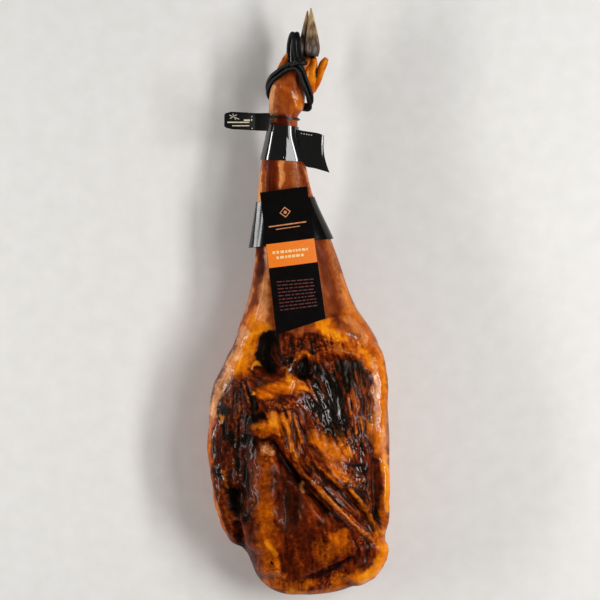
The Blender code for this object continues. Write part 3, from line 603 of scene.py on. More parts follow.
# The finish of the meat.
meatFinish = {
    "noises": {  # size in millimetres and detail, then for grain how long it is drawn and how it leans
        "fine": (2.2, 3), "middle": (6, 4), "cloud": (15, 3), "blotch": (34, 2),
        "crumbNoise": (3.6, 2), "grainDown": (2.2, 2, 7, 0.0), "grainLean": (2.2, 2, 6, 0.62),
    },
    "rind": ((0.15, "5A1E08"), (0.45, "8C3C14"), (0.7, "A85622"), (0.95, "C67C40")),
    "layers": {  # laid over the rind in turn: border's half width, how ragged it is, colours by light
        "meat": (0.2, 0.7, ((0.12, "120301"), (0.38, "380D02"), (0.6, "661F04"), (0.78, "8C3406"),
                            (0.95, "B25614"))),
        "wine": (0.42, 0.5, ((0.1, "260502"), (0.5, "561204"), (0.9, "84300C"))),
        "fat": (0.38, 0.5, ((0.1, "622002"), (0.36, "9C4203"), (0.6, "CC6004"), (0.9, "EE8812"))),
        "gold": (0.42, 0.45, ((0.15, "C65E03"), (0.45, "EA8006"), (0.85, "FCA61A"))),
        # pale: the colours of thin skin and of the painted highlights and sheen
        "pale": (0.4, 0.7, ((0.1, "B05A20"), (0.5, "E29050"), (0.9, "FCCC96"))),
        "blackMeatAndShade": (0.24, 1.1, ((0.2, "040202"), (0.62, "0B0402"), (0.85, "200C04"), (1.0, "4C260C"))),
    },
    "others": ("darkMeatAndShade", "dry", "crumb", "oil", "hollow", "fibre", "streak"), "fineRag": 0.7,
    "coat": {"From Min": 0.35, "From Max": 0.65, "To Min": 0.05, "To Max": 0.16},
    "bump": {"Distance": 0.0011, "Strength": 0.9},
    "sums": (  # result, a, b, c: each is a * b + c, and a name stands for what was made before it
        *((name + "Off", name, 1, -0.5) for name in
          ("fine", "middle", "cloud", "blotch", "crumbNoise", "grainDown")),
        # torn meat is less even than skin
        ("busy", "meat", 0.22, 0.38), ("busy", "streak", 0.42, "busy"),
        # light: 0 on dark fibres, 1 on pale ones; the hollow term paints shade into hollows and light onto
        # ridges
        ("uneven", "middleOff", 0.75, 0), ("uneven", "cloudOff", 0.8, "uneven"),
        ("uneven", "fineOff", 0.35, "uneven"), ("light", "hollow", -0.17, "fibre"),
        ("light", "uneven", "busy", "light"), ("grainSeen", "grainDownOff", "streak", 0),
        ("light", "grainSeen", 0.45, "light"), ("crumbSeen", "crumbNoiseOff", "crumb", 0),
        ("light", "crumbSeen", 1.9, "light"),
        # broad uneven tone, darker where the meat has darkened and where shade is painted in
        ("shade", "blotchOff", 0.5, 1), ("darkening", "darkMeatAndShade", -0.62, 1), ("shade", "shade", "darkening", 0),
        # dull where dry, wet where oiled
        ("rough", "middle", 0.3, 0.2), ("rough", "oil", -0.12, "rough"), ("rough", "dry", 0.35, "rough"),
        ("coat", "oil", 0.46, "coat"), ("matt", "dry", -0.95, 1), ("coat", "coat", "matt", 0),
        # height of the grain: less on skin and fat, more on crumbly meat
        ("grain", "grainLean", 0.5, "grainDown"), ("drawn", "streak", 1.3, 0.3),
        ("grain", "grain", "drawn", 0), ("grain", "fine", 0.8, "grain"), ("grain", "middle", 1.2, "grain"),
        ("depth", "meat", 0.5, 0.2), ("smooth", "fat", -0.6, 1), ("depth", "depth", "smooth", 0),
        ("depth", "crumb", 0.4, "depth"), ("height", "grain", "depth", 0),
    ),
}


def legSizes(y):
    rows = hamShape["sections"]
    return [smoothCurve([row[0] for row in rows], [row[k] for row in rows], y) for k in range(1, 5)]


def sectionRing(upperSteps, underSteps):
    across = np.sin(np.linspace(1, -1, upperSteps, endpoint=False) * math.pi / 2)
    back = np.sin(np.linspace(-1, 1, underSteps, endpoint=False) * math.pi / 2)
    high, low = hamShape["upperRoundness"], hamShape["underRoundness"]
    up = (1 - np.abs(across) ** high) ** (1 / high)
    down = (1 - np.abs(back) ** low) ** (1 / low)
    return np.concatenate([across, back]), np.concatenate([up, -down])


def roundLeg(y, across, up, lift=0.0):
    left, right, under, upper = legSizes(y)
    widest = under + hamShape["widestAt"] * (upper - under)
    x = (left + right) / 2 + ((right - left) / 2 + lift) * across
    z = widest + np.where(up >= 0, upper - widest + lift, widest - under + lift) * up
    return np.stack([x, y, z], axis=2)


def fadeFrom(x, y, path, reach, power=2, ends=False, ragged=0.0):  # 1 on the path, 0 some way off it
    line = roundedPath(np.reshape(path, (-1, 2)), 5)
    low, high = line.min(0) - 2.6 * reach, line.max(0) + 2.6 * reach
    near = (x > low[0]) & (x < high[0]) & (y > low[1]) & (y < high[1])
    px, py = x[near], y[near]
    best, share = np.full(px.shape, np.inf), np.zeros(px.shape)
    count = len(line) - 1
    for k in range(count):
        run = line[k + 1] - line[k]
        t = np.clip(((px - line[k][0]) * run[0] + (py - line[k][1]) * run[1]) / max(run @ run, 1e-6), 0, 1)
        away = np.hypot(px - line[k][0] - t * run[0], py - line[k][1] - t * run[1])
        share = np.where(away < best, (k + t) / count, share)
        best = np.minimum(best, away)
    if ragged:
        best = best / (1 + ragged * waves(px, py, 11, 51) + ragged * 0.6 * waves(px, py, 5, 52))
    value = np.exp(-(best / reach) ** power)
    if ends:
        value = value * eased(share, -0.02, 0.14) * eased(1 - share, -0.02, 0.14)
    result = np.zeros(x.shape)
    result[near] = value
    return result


def relief(x, y):
    total = np.zeros(x.shape)
    for path, reach, rise in meatForms["ridges"]:
        total += rise * fadeFrom(x, y, path, reach, ends=True)
    for path, reach, depth in meatForms["folds"]:
        total -= depth * fadeFrom(x, y, path, reach, ends=True)
    for centre, half, depth in meatForms["hollows"]:
        total -= depth * np.exp(-np.hypot((x - centre[0]) / half[0], (y - centre[1]) / half[1]) ** 4)
    meat = eased(-y, -meatForms["edge"], meatForms["fade"] - meatForms["edge"])
    crag = waves(x, y, meatForms["cragSize"], meatForms["cragSeed"], 64)
    return total + meatForms["cragHeight"] * meat * crag


def fibreDirection(x, y):
    sumX, sumY = np.zeros(x.shape), np.zeros(x.shape)
    for guide in fibreGuides:
        line = np.reshape(guide, (-1, 2)).astype(float)
        for a, b in zip(line, line[1:]):
            run = b - a
            t = np.clip(((x - a[0]) * run[0] + (y - a[1]) * run[1]) / (run @ run), 0, 1)
            away = np.hypot(x - a[0] - t * run[0], y - a[1] - t * run[1])
            weight = 1 / (away ** 2 + 60) ** 1.6
            run = run / np.hypot(*run)
            sumX += weight * run[0]
            sumY += weight * run[1]
    length = np.maximum(np.hypot(sumX, sumY), 1e-12)
    return sumX / length, sumY / length


def fibres(x, y, size, reach, seed, steps=15):  # noise smeared along the fibre direction
    dirX, dirY = fibreDirection(x, y)
    total = np.zeros(x.shape)
    for t in np.linspace(-reach, reach, steps):
        total += waves(x + t * dirX, y + t * dirY, size, seed) * (1 - abs(t) / reach * 0.7)
    return total / np.std(total)


def lumps(x, y, rows, start=0.0):
    for size, seed, amount in rows:
        start = start + amount * waves(x, y, size, seed)
    return start


def warped(x, y):  # ragged borders for the fields of finish
    return lumps(x, y, unevenness["warpX"], x), lumps(x, y, unevenness["warpY"], y)


def fieldAmount(x, y, fields):
    rest = np.ones(x.shape)
    for path, reach, amount in fields:
        rest *= 1 - amount * fadeFrom(x, y, path, reach, 4, ragged=0.22)
    return 1 - rest


def meatShare(x, y):  # 1 where the skin has been cut away
    return eased(-y + 7 * waves(x, y, 18, 31), 40, 52)


def streakiness(x, y):  # how fibrous the surface is: high on torn lean meat, low on skin and fat
    streaky = 0.12 + 0.22 * meatShare(x, y)
    for path, reach, amount in meatStreaks:
        near = fadeFrom(x, y, path, reach, 4)
        streaky = streaky + (amount - streaky) * near
    return streaky


def fineRelief(x, y):
    wx, wy = warped(x, y)
    total = np.zeros(x.shape)
    streaky, crumbly = streakiness(x, y), fieldAmount(wx, wy, meatFields["crumb"])
    meat = meatShare(x, y)
    for path, reach, rise, _ in strands:
        total += unevenness["lineHeight"] * rise * fadeFrom(wx, wy, path, reach, ragged=0.45)
    for path, reach, depth, _ in slits:
        total -= unevenness["lineHeight"] * depth * fadeFrom(wx, wy, path, reach, ragged=0.55)
    total += fieldAmount(wx, wy, meatFields["blackMeatAndShade"]) * lumps(x, y, unevenness["blackMeatAndShade"])
    for size, length, seed, height, _ in unevenness["fibres"]:
        total += streaky * fibres(x, y, size, length, seed) * height
    skin = unevenness["skinHeight"] + unevenness["meatHeight"] * meat
    total += skin * lumps(x, y, unevenness["skin"])
    total += crumbly * lumps(x, y, unevenness["crumb"])
    for path, reach, amount in shankFields["wine"]:
        total -= unevenness["wineDepth"] * amount * fadeFrom(x, y, path, reach)
    return total


def hamGrid():
    shape = hamShape
    across, up = sectionRing(shape["upperSteps"], shape["underSteps"])
    end, last = shape["sections"][0][0], shape["sections"][-1][0]
    start = end + shape["endReach"]
    turn = np.linspace(0, math.pi / 2, shape["endRows"], endpoint=False)
    stretches = ((start, shape["shankStart"], shape["meatRow"]),
                 (shape["shankStart"], shape["footStart"], shape["shankRow"]))
    meat, shank = (np.linspace(low, high, round((high - low) / step), False) for low, high, step in stretches)
    foot = np.linspace(shape["footStart"], last, round((last - shape["footStart"]) / shape["footRow"]) + 1)
    rows = np.concatenate([end + shape["endReach"] * (1 - np.cos(turn)), meat, shank, foot])
    grid = roundLeg(np.repeat(rows[:, None], len(across), axis=1), across, up)
    normal = gridNormals(grid, True)
    facing = eased(normal[:, :, 2], 0.05, 0.45)
    x, y = grid[:, :, 0], grid[:, :, 1]
    inner = eased(y, end + 1, end + 14) * (1 - eased(y, last - 8, last))
    rise = relief(x, y) * facing + fineRelief(x, y) * inner * eased(normal[:, :, 2], -0.05, 0.35)
    grid = grid + normal * rise[:, :, None]
    grid[:, :, 2] = np.maximum(grid[:, :, 2], 0)
    return grid


def toePart(name):
    spine, radii = toes["spines"][name]
    line = roundedPath(spine)
    pick = np.linspace(0, len(line) - 1, toes["rings"]).round().astype(int)
    size = smoothCurve(np.linspace(0, 1, len(radii)), radii, pick / (len(line) - 1))
    line = line[pick]
    tangent = np.gradient(line, axis=0)
    tangent /= np.linalg.norm(tangent, axis=1, keepdims=True)
    away = np.tile([0.0, 0.0, 1.0], (len(line), 1))
    away -= np.sum(away * tangent, axis=1, keepdims=True) * tangent
    away /= np.linalg.norm(away, axis=1, keepdims=True)
    side = np.cross(tangent, away)
    sides = toes["sides"]
    turn = np.arange(sides) * 2 * math.pi / sides
    ring = side[:, None] * np.cos(turn)[None, :, None] + away[:, None] * np.sin(turn)[None, :, None]
    uneven = toes["uneven"] * waves(line[:, 1:2] * np.ones(sides), turn * 9, 6, 5)[:, :, None]
    grid = line[:, None] + ring * (size[:, None, None] + uneven)
    return grid.reshape(-1, 3), ringFaces(len(line), sides), 0


def setAttribute(mesh, name, values):
    layer = mesh.attributes.new(name, "FLOAT", "POINT")
    layer.data.foreach_set("value", np.asarray(values, np.float32))


def hollowness(mesh, points, normals, rounds=26):  # positive in hollows, negative on ridges
    edges = np.zeros(len(mesh.edges) * 2, int)
    mesh.edges.foreach_get("vertices", edges)
    a, b = edges.reshape(-1, 2).T
    degree = np.bincount(np.concatenate([a, b]), minlength=len(points)).astype(float)
    soft = points.copy()
    for _ in range(rounds):
        total = np.stack([np.bincount(a, soft[b, k], len(points)) + np.bincount(b, soft[a, k], len(points))
                          for k in range(3)], axis=1)
        soft = 0.4 * soft + 0.6 * total / degree[:, None]
    return np.sum((soft - points) * normals, axis=1)


def hamFinish(ham):  # where each finish lies, kept as vertex attributes
    mesh = ham.data
    count = len(mesh.vertices)
    points, normals = np.zeros(count * 3), np.zeros(count * 3)
    mesh.vertices.foreach_get("co", points)
    mesh.vertices.foreach_get("normal", normals)
    points, normals = points.reshape(-1, 3) / mm, normals.reshape(-1, 3)
    x, y = points[:, 0], points[:, 1]
    wx, wy = warped(x, y)
    shareTop, topSize, topSeed = hamLook["topUneven"]
    top = eased(normals[:, 2] + shareTop * waves(y, points[:, 2], topSize, topSeed), *hamLook["topSide"])
    meat = meatShare(x, y) * top
    amounts = {name: fieldAmount(wx, wy, fields) * top for name, fields in meatFields.items()}
    for name, fields in shankFields.items():
        amounts[name] = np.maximum(amounts[name], fieldAmount(wx, wy, fields) * top)
    fatLines, creaseShade = np.zeros(count), np.zeros(count)
    for rows, lines, (share, power, ragged) in ((strands, fatLines, hamLook["fatLines"]),
                                                (slits, creaseShade, hamLook["creaseShade"])):
        for path, reach, _, amount in rows:
            near = fadeFrom(wx, wy, path, reach, power, ragged=ragged)
            np.maximum(lines, share * amount * near * top, out=lines)
    amounts["fat"] = np.maximum(amounts["fat"], fatLines)
    # the slits' dark lines are painted crease shade, laid into the black layer
    blackMeatAndShade = amounts["blackMeatAndShade"]
    tearShare, tearLimit, tearEdge = hamLook["tears"]
    tears = np.clip(fibres(x, y, *unevenness["tears"]), -tearLimit, tearLimit)
    tears = tearShare * tears * (blackMeatAndShade > tearEdge) * (blackMeatAndShade < 1 - tearEdge)
    kept = blackMeatAndShade * (1 - hamLook["fatOverChar"] * fatLines)
    amounts["blackMeatAndShade"] = np.clip(np.maximum(kept, creaseShade) + tears, 0, 1)
    for name, values in amounts.items():
        setAttribute(mesh, name, values)
    setAttribute(mesh, "meat", meat)
    # hollowness of the mesh: the meat's colour uses it to paint shade into hollows and light onto ridges
    limit = hamLook["hollowLimit"]
    hollow = hollowness(mesh, points, normals) / hamLook["hollowScale"]
    setAttribute(mesh, "hollow", np.clip(hollow, -limit, limit))
    streaky = streakiness(x, y)
    rows = unevenness["fibres"]
    tone = sum(share * fibres(x, y, size, length, seed) for size, length, seed, _, share in rows)
    setAttribute(mesh, "fibre", 0.5 + tone * streaky)
    setAttribute(mesh, "streak", streaky)


def curedMeatMaterial():
    # Dry-cured pork: dark cut meat, painted almost black in the hollows as shade, amber fat rubbed with oil.
    # It gives the eye deep browns between clear orange fat, with small wet glints all over.
    material, tree, shader = newMaterial("driedMeatAndFat", IOR=1.46, Specular_IOR_Level=0.1,
                                         Specular_Tint=linearColour("F2C8A4"), Coat_Roughness=0.10)
    place = addNode(tree, "ShaderNodeTexCoord").outputs["Object"]
    layers, made = meatFinish["layers"], {}
    for name in (*layers, *meatFinish["others"]):
        made[name] = addNode(tree, "ShaderNodeAttribute", attribute_name=name).outputs["Fac"]
    for name, (size, detail, *grain) in meatFinish["noises"].items():
        vector = place
        if grain:
            vector = addNode(tree, "ShaderNodeMapping", {"Vector": place, "Rotation": (0, 0, grain[1]),
                                                         "Scale": (1, 1 / grain[0], 1)}).outputs[0]
        made[name] = addNode(tree, "ShaderNodeTexNoise", {"Vector": vector, "Scale": 1 / (size * mm),
                                                          "Detail": detail}).outputs["Fac"]
    coat = addNode(tree, "ShaderNodeMapRange", {"Value": made["blotch"], **meatFinish["coat"]})
    made["coat"] = coat.outputs[0]
    sums = list(meatFinish["sums"])
    for name, (_, ragged, _) in layers.items():  # each border is broken up by the grain
        edge = name + "Edge"
        sums += [("rag", "busy", ragged, 0), (edge, "middleOff", "rag", name),
                 ("rag", "rag", meatFinish["fineRag"], 0), (edge, "fineOff", "rag", edge)]
    for result, *terms in sums:
        inputs = {k: made.get(term, term) for k, term in enumerate(terms)}
        made[result] = addNode(tree, "ShaderNodeMath", inputs, operation="MULTIPLY_ADD").outputs[0]
    colour = addNode(tree, "ShaderNodeValToRGB", {"Fac": made["light"]}, meatFinish["rind"]).outputs["Color"]
    for name, (half, _, stops) in layers.items():
        edge = addNode(tree, "ShaderNodeMapRange", {"Value": made[name + "Edge"], "From Min": 0.5 - half,
                                                    "From Max": 0.5 + half}).outputs[0]
        layer = addNode(tree, "ShaderNodeValToRGB", {"Fac": made["light"]}, stops).outputs["Color"]
        colour = addNode(tree, "ShaderNodeMix", {0: edge, 6: colour, 7: layer}, data_type="RGBA").outputs[2]
    shaded = addNode(tree, "ShaderNodeMix", {0: 1.0, 6: colour, 7: made["shade"]}, data_type="RGBA",
                     blend_type="MULTIPLY").outputs[2]
    bump = addNode(tree, "ShaderNodeBump", {"Height": made["height"], **meatFinish["bump"]}).outputs[0]
    for socket, source in (("Base Color", shaded), ("Roughness", made["rough"]),
                           ("Coat Weight", made["coat"]), ("Normal", bump)):
        tree.links.new(source, shader.inputs[socket])
    return material


def makeHam():
    grid = hamGrid()
    meatMaterial = curedMeatMaterial()
    body = meshPiece("hamMeat", [(grid.reshape(-1, 3), ringFaces(*grid.shape[:2]), 0)], [meatMaterial])
    gathered = bpy.data.collections.new("toes")
    for name in toes["spines"]:
        toe = meshPiece(name, [toePart(name)], [meatMaterial])
        bpy.context.scene.collection.objects.unlink(toe)
        gathered.objects.link(toe)
    union = body.modifiers.new("union", "BOOLEAN")
    union.operation, union.solver = "UNION", "EXACT"
    union.operand_type, union.collection = "COLLECTION", gathered
    ham = asMesh(body, "hamMeat")
    for toe in list(gathered.objects):
        bpy.data.objects.remove(toe, do_unlink=True)
    bpy.data.collections.remove(gathered)
    ham.data.shade_smooth()
    hamFinish(ham)
    finishPiece(ham, "ham")
    print("ham:", len(ham.data.polygons), "faces")


# The horn claws.

claws = {
    "claw_left": {
        "piece": "clawLeft", "base": (8.6, 60.0), "tip": (12.5, 424.0, 69.0), "half": (9.8, 11.0),
        "seed": 3,
        # the left claw's darker horn is partly painted shade, as it lies behind the right claw in shade
        "horn": ("darkShadedHorn", ((0.1, "120403"), (0.45, "300F05"), (0.75, "6A4418"), (1.0, "A88244")), 0.5,
                 (0.352, 0.415)),
    },
    "claw_right": {
        "piece": "clawRight", "base": (20.0, 82.5), "tip": (17.4, 427.0, 78.0), "half": (10.8, 11.4),
        "seed": 4,
        "horn": ("paleHorn", ((0.1, "1C0C06"), (0.4, "4A301A"), (0.7, "927450"), (1.0, "CCB080")), 1.0,
                 (0.338, 0.425)),
    },
    "start": 356.4, "rings": 70, "sides": 72, "swell": 0.07, "tipSize": 0.10, "ridge": 0.35,
    "root": 0.26, "rootShare": 0.2, "taper": 1.7, "lean": 1.4, "chip": 0.25,
}


def hornMaterial(name, stops, streak, root):
    # Keratin horn, dry and worn: lengthwise growth lines, darker at the root.
    material, tree, shader = newMaterial(name, IOR=1.54)
    place = addNode(tree, "ShaderNodeTexCoord").outputs["Object"]
    along = addNode(tree, "ShaderNodeSeparateXYZ", {0: place}).outputs["Y"]
    lines = addNode(tree, "ShaderNodeMapping", {"Vector": place, "Scale": (1, 0.06, 1)}).outputs[0]
    made = {"pale": addNode(tree, "ShaderNodeMapRange", {"Value": along, "From Min": root[0],
                                                         "From Max": root[1]}).outputs[0]}
    noises = (("wide", lines, 3.2, 3), ("thin", lines, 1.1, 2), ("patch", place, 9, 2))
    for key, vector, size, detail in noises:
        made[key] = addNode(tree, "ShaderNodeTexNoise", {"Vector": vector, "Scale": 1 / (size * mm),
                                                         "Detail": detail}).outputs["Fac"]
    # result, a, b, c: each is a * b + c
    for result, *terms in (("mix", "wide", streak, "pale"), ("mix", "patch", 0.5, "mix"),
                           ("mix", "mix", 1, -(streak / 2 + 0.25)), ("height", "wide", 1.4, "thin")):
        inputs = {k: made.get(term, term) for k, term in enumerate(terms)}
        made[result] = addNode(tree, "ShaderNodeMath", inputs, operation="MULTIPLY_ADD").outputs[0]
    colour = addNode(tree, "ShaderNodeValToRGB", {"Fac": made["mix"]}, stops).outputs["Color"]
    rough = addNode(tree, "ShaderNodeMapRange", {"Value": made["thin"], "To Min": 0.26, "To Max": 0.52})
    bump = addNode(tree, "ShaderNodeBump", {"Height": made["height"], "Distance": 0.0006, "Strength": 0.8})
    for socket, source in (("Base Color", colour), ("Roughness", rough.outputs[0]),
                           ("Normal", bump.outputs[0])):
        tree.links.new(source, shader.inputs[socket])
    return material


def makeClaw(node):
    one = claws[node]
    share = 1 - np.cos(np.linspace(0, math.pi / 2, claws["rings"]))
    share = 0.5 * share + 0.5 * np.linspace(0, 1, claws["rings"])
    size = (1 - share ** claws["taper"]) * (1 - claws["tipSize"]) + claws["tipSize"]
    size = size + claws["swell"] * np.sin(math.pi * np.minimum(share * 2, 1))
    size = size * (1 - claws["root"] * np.clip(1 - share / claws["rootShare"], 0, 1) ** 2)
    turn = np.arange(claws["sides"]) * 2 * math.pi / claws["sides"]
    lean = share ** claws["lean"]
    x = one["base"][0] + (one["tip"][0] - one["base"][0]) * lean
    z = one["base"][1] + (one["tip"][2] - one["base"][1]) * lean
    y = claws["start"] + (one["tip"][1] - claws["start"]) * share
    groove = 0.6 * np.cos(turn * 9 + one["seed"]) + 0.4 * np.cos(turn * 17 + one["seed"] * 2)
    groove = groove[None, :] * claws["ridge"] * (1 - 0.6 * share[:, None]) - claws["ridge"]
    chips = claws["chip"] * waves(y[:, None] * np.ones(len(turn)), turn * 8, 5, one["seed"])
    swell = groove + chips * (size[:, None] < 0.95)
    grid = np.stack([
        x[:, None] + (one["half"][0] * size[:, None] + swell * size[:, None]) * np.cos(turn)[None, :],
        np.repeat(y[:, None], len(turn), axis=1),
        z[:, None] + (one["half"][1] * size[:, None] + swell * size[:, None]) * np.sin(turn)[None, :],
    ], axis=2)
    part = (grid.reshape(-1, 3), ringFaces(*grid.shape[:2]), 0)
    finishPiece(meshPiece(one["piece"], [part], [hornMaterial(*one["horn"])]), node)


# The cord.

cord = {
    "choke": (
        (-4, 341.5, 102.5), (-14, 340.5, 100.5), (-23, 336.5, 95), (-31, 331, 88), (-38.6, 325.2, 79.6),
        (-43.6, 317, 69.4), (-45.4, 308, 58), (-40, 299, 46.6), (-26, 292.5, 40.5), (-8, 288, 38.5),
        (6, 285.5, 43), (13.5, 284.5, 55), (16.5, 288, 70), (15.5, 298, 85), (11.5, 310, 95), (7, 322, 101),
        (3, 334, 103),
    ),
    "footAxis": (-15, None, 70), "chokeTilt": 1.4,
    "hanging": (
        (2, 339, 101.5), (-0.5, 349, 97), (-2.5, 360, 89), (-3.5, 371, 81.5), (-4, 382, 75.5),
        (-5.5, 390.5, 66), (-8.5, 389, 55), (-11.5, 378, 47), (-12.5, 361, 41.5), (-11.5, 340, 39.5),
        (-10, 314, 39), (-9, 287, 38.5),
    ),
    "loopAxis": (None, 366, 62), "hangingShare": 0.97, "endSlim": 0.4, "slimPower": 12,
    "knot": ((-13, 343, 98), (-7, 344, 105), (1, 345.5, 107.5), (7, 346, 104.5), (9.5, 346, 98)),
    "strandRadius": 3.15, "strandOffset": 3.1, "knotRadius": 3.3, "sides": 18, "pathSteps": 6,
    "lobes": 3, "lobeDepth": 0.09, "turnLength": 11.0, "pointSpacing": 1.1,
}


def cordTree():
    floats = ("Radius", "Lobe Depth", "Turn Length", "Point Spacing")
    tree, given = newTree("twistedCord", [(name, "Float") for name in floats])
    spacing = {"Curve": given["Geometry"], "Length": given["Point Spacing"]}
    even = addNode(tree, "GeometryNodeResampleCurve", spacing, mode="LENGTH").outputs[0]
    length = addNode(tree, "GeometryNodeSplineParameter").outputs["Length"]
    turns = addNode(tree, "ShaderNodeMath", {0: length, 1: given["Turn Length"]},
                    operation="DIVIDE").outputs[0]
    angle = addNode(tree, "ShaderNodeMath", {0: turns, 1: 2 * math.pi}, operation="MULTIPLY").outputs[0]
    tilted = addNode(tree, "GeometryNodeSetCurveTilt", {"Curve": even, "Tilt": angle}).outputs[0]
    circle = addNode(tree, "GeometryNodeCurvePrimitiveCircle", {"Resolution": cord["sides"],
                                                                "Radius": given["Radius"]}).outputs[0]
    spot = addNode(tree, "GeometryNodeInputPosition").outputs[0]
    parts = addNode(tree, "ShaderNodeSeparateXYZ", {0: spot}).outputs
    around = addNode(tree, "ShaderNodeMath", {0: parts["Y"], 1: parts["X"]}, operation="ARCTAN2").outputs[0]
    lobes = addNode(tree, "ShaderNodeMath", {0: around, 1: cord["lobes"]}, operation="MULTIPLY").outputs[0]
    wave = addNode(tree, "ShaderNodeMath", {0: lobes}, operation="COSINE").outputs[0]
    grow = addNode(tree, "ShaderNodeMath", {0: wave, 1: given["Lobe Depth"], 2: 1.0},
                   operation="MULTIPLY_ADD").outputs[0]
    lobed = addNode(tree, "ShaderNodeVectorMath", {0: spot, "Scale": grow}, operation="SCALE").outputs[0]
    profile = addNode(tree, "GeometryNodeSetPosition", {"Geometry": circle, "Position": lobed}).outputs[0]
    tube = addNode(tree, "GeometryNodeCurveToMesh", {"Curve": tilted, "Profile Curve": profile,
                                                     "Fill Caps": True}).outputs[0]
    return endTree(tree, tube, given)


def strandPath(route, axis, offset, closed, tilt=0.0):
    path = roundedPath(route, cord["pathSteps"], closed)
    if closed:
        tangent = np.roll(path, -1, axis=0) - np.roll(path, 1, axis=0)
    else:
        tangent = np.gradient(path, axis=0)
    tangent /= np.linalg.norm(tangent, axis=1, keepdims=True)
    along = [k for k in range(3) if axis[k] is None]
    away = path - np.array([value or 0 for value in axis], float)
    away[:, along] = 0
    away /= np.linalg.norm(away, axis=1, keepdims=True)
    away[:, 2] += tilt * (1 + away[:, 2]) / 2
    away -= np.sum(away * tangent, axis=1, keepdims=True) * tangent
    away /= np.linalg.norm(away, axis=1, keepdims=True)
    return path + np.cross(tangent, away) * np.reshape(offset * np.ones(len(path)), (-1, 1))


def makeCord():
    # Twisted polypropylene cord, black and waxy: the lay catches thin bright lines.
    material = plainFinish("twistedPolypropylene", 0.9, 3, ((0.3, "020202"), (0.7, "070506")),
                           bump=(0.9, 3, 0.0004, 0.7), IOR=1.49, Roughness=0.4, Specular_IOR_Level=0.3)
    tree = cordTree()
    routes = []  # name, path, closed, radius
    count = (len(cord["hanging"]) - 1) * cord["pathSteps"] + 1
    slim = 1 - cord["endSlim"] * np.abs(np.linspace(-1, 1, count)) ** cord["slimPower"]
    for side in (-cord["strandOffset"], cord["strandOffset"]):
        path = strandPath(cord["choke"], cord["footAxis"], side, True, cord["chokeTilt"])
        routes.append(("choke", path, True, cord["strandRadius"]))
        path = strandPath(cord["hanging"], cord["loopAxis"], side * slim, False)
        routes.append(("hang", path, False, cord["strandRadius"] * cord["hangingShare"]))
    routes.append(("knot", roundedPath(cord["knot"], cord["pathSteps"]), False, cord["knotRadius"]))
    made = []
    for name, path, closed, radius in routes:
        values = {"Radius": radius * mm, "Lobe Depth": cord["lobeDepth"], "Material": material,
                  "Turn Length": cord["turnLength"] * mm, "Point Spacing": cord["pointSpacing"] * mm}
        made.append(curveMesh(name, path, closed, tree, values))
    whole = joined("hangingCord", made)
    whole.data.shade_smooth()
    finishPiece(whole, "hanging_cord")
    print("cord:", len(whole.data.polygons), "faces")


# The seal: strap, housing and tag.

seal = {
    "place": 267.5, "lean": -2.0, "width": 3.0, "thickness": 1.6, "gap": 1.2, "sides": 48,
    "housing": ((-63, 248.6), (-44.5, 247.8), (-42.5, 256), (-41.5, 266.4), (-35.6, 266.2), (-35.6, 269.6),
                (-41.5, 270.4), (-42.5, 274), (-63, 273.8)),
    "housingHeight": (90.0, 94.0), "housingEdge": 0.6,
    "tag": ((-106, 252.6), (-98, 250.6), (-61, 248.6), (-61, 273.8), (-98, 276), (-107, 273.6),
            (-108.4, 271), (-108.4, 255)),
    "tagHeight": (91.2, 92.8), "tagEdge": 0.35,
    "ribs": 60, "ribSize": (0.25, 2.4, 0.7), "ribPath": 60, "ribGap": 0.05,
    # pale printed marks of the tag: left, low, right, high; sprig: two ends and half width
    "marks": ((-104, 259.6, -72, 261.4), (-97, 254.8, -72, 256.2), (-80, 262.4, -71, 264.6),
              (-69, 268, -67.6, 269.6), (-69.4, 262.6, -67.8, 265.4), (-68.6, 251, -67.2, 252.4)),
    "sprig": ((-101, 271, -87, 265, 0.55), (-100, 266, -90, 271.5, 0.5), (-96, 273, -92, 264, 0.45)),
    "inkSink": 0.05, "inkHeight": 0.12,
}


def inkMaterial(name, dark, light):
    # Printing ink: a thin matt coat, a little uneven where it has rubbed.
    return plainFinish(name, 2.5, 3, ((0.3, dark), (0.7, light)), IOR=1.5, Roughness=0.5)


def slabPart(outline, low, high, kind, bevel=0.0):  # flat plate from its outline, edges eased
    shape = bmesh.new()
    face = shape.faces.new([shape.verts.new((x, y, low)) for x, y in outline])
    made = bmesh.ops.extrude_face_region(shape, geom=[face])["geom"]
    raised = [v for v in made if isinstance(v, bmesh.types.BMVert)]
    bmesh.ops.translate(shape, vec=(0, 0, high - low), verts=raised)
    if bevel:
        bmesh.ops.bevel(shape, geom=list(shape.edges), offset=bevel, segments=2, affect="EDGES", profile=0.5)
    # points and faces are put in one order, because extruding gives them in another each run
    points = sorted(v.co[:] for v in shape.verts)
    place = {point: k for k, point in enumerate(points)}
    faces = []
    for face in shape.faces:
        ring = [place[v.co[:]] for v in face.verts]
        first = ring.index(min(ring))
        ring = ring[first:] + ring[:first]
        faces.append(ring if ring[1] < ring[-1] else ring[:1] + ring[:0:-1])
    shape.free()
    return points, sorted(faces), kind


def barPart(left, low, right, high, bottom, top, kind):
    return slabPart(((left, low), (right, low), (right, high), (left, high)), bottom, top, kind)


def linePart(x0, y0, x1, y1, half, bottom, top, kind):
    run = np.array([x1 - x0, y1 - y0], float)
    aside = np.array([-run[1], run[0]]) / np.hypot(*run) * half
    ends = [(x0, y0) + aside, (x0, y0) - aside, (x1, y1) - aside, (x1, y1) + aside]
    return slabPart([tuple(p) for p in ends], bottom, top, kind)


def ribTree():
    tree, given = newTree("strapRibs", [("Count", "Int"), ("Rib Size", "Vector")])
    points = addNode(tree, "GeometryNodeCurveToPoints", {"Curve": given["Geometry"], "Count": given["Count"]},
                     mode="COUNT").outputs
    rib = addNode(tree, "GeometryNodeMeshCube", {"Size": given["Rib Size"]}).outputs[0]
    placed = addNode(tree, "GeometryNodeInstanceOnPoints", {"Points": points["Points"], "Instance": rib,
                                                            "Rotation": points["Rotation"]}).outputs[0]
    return endTree(tree, placed, given)


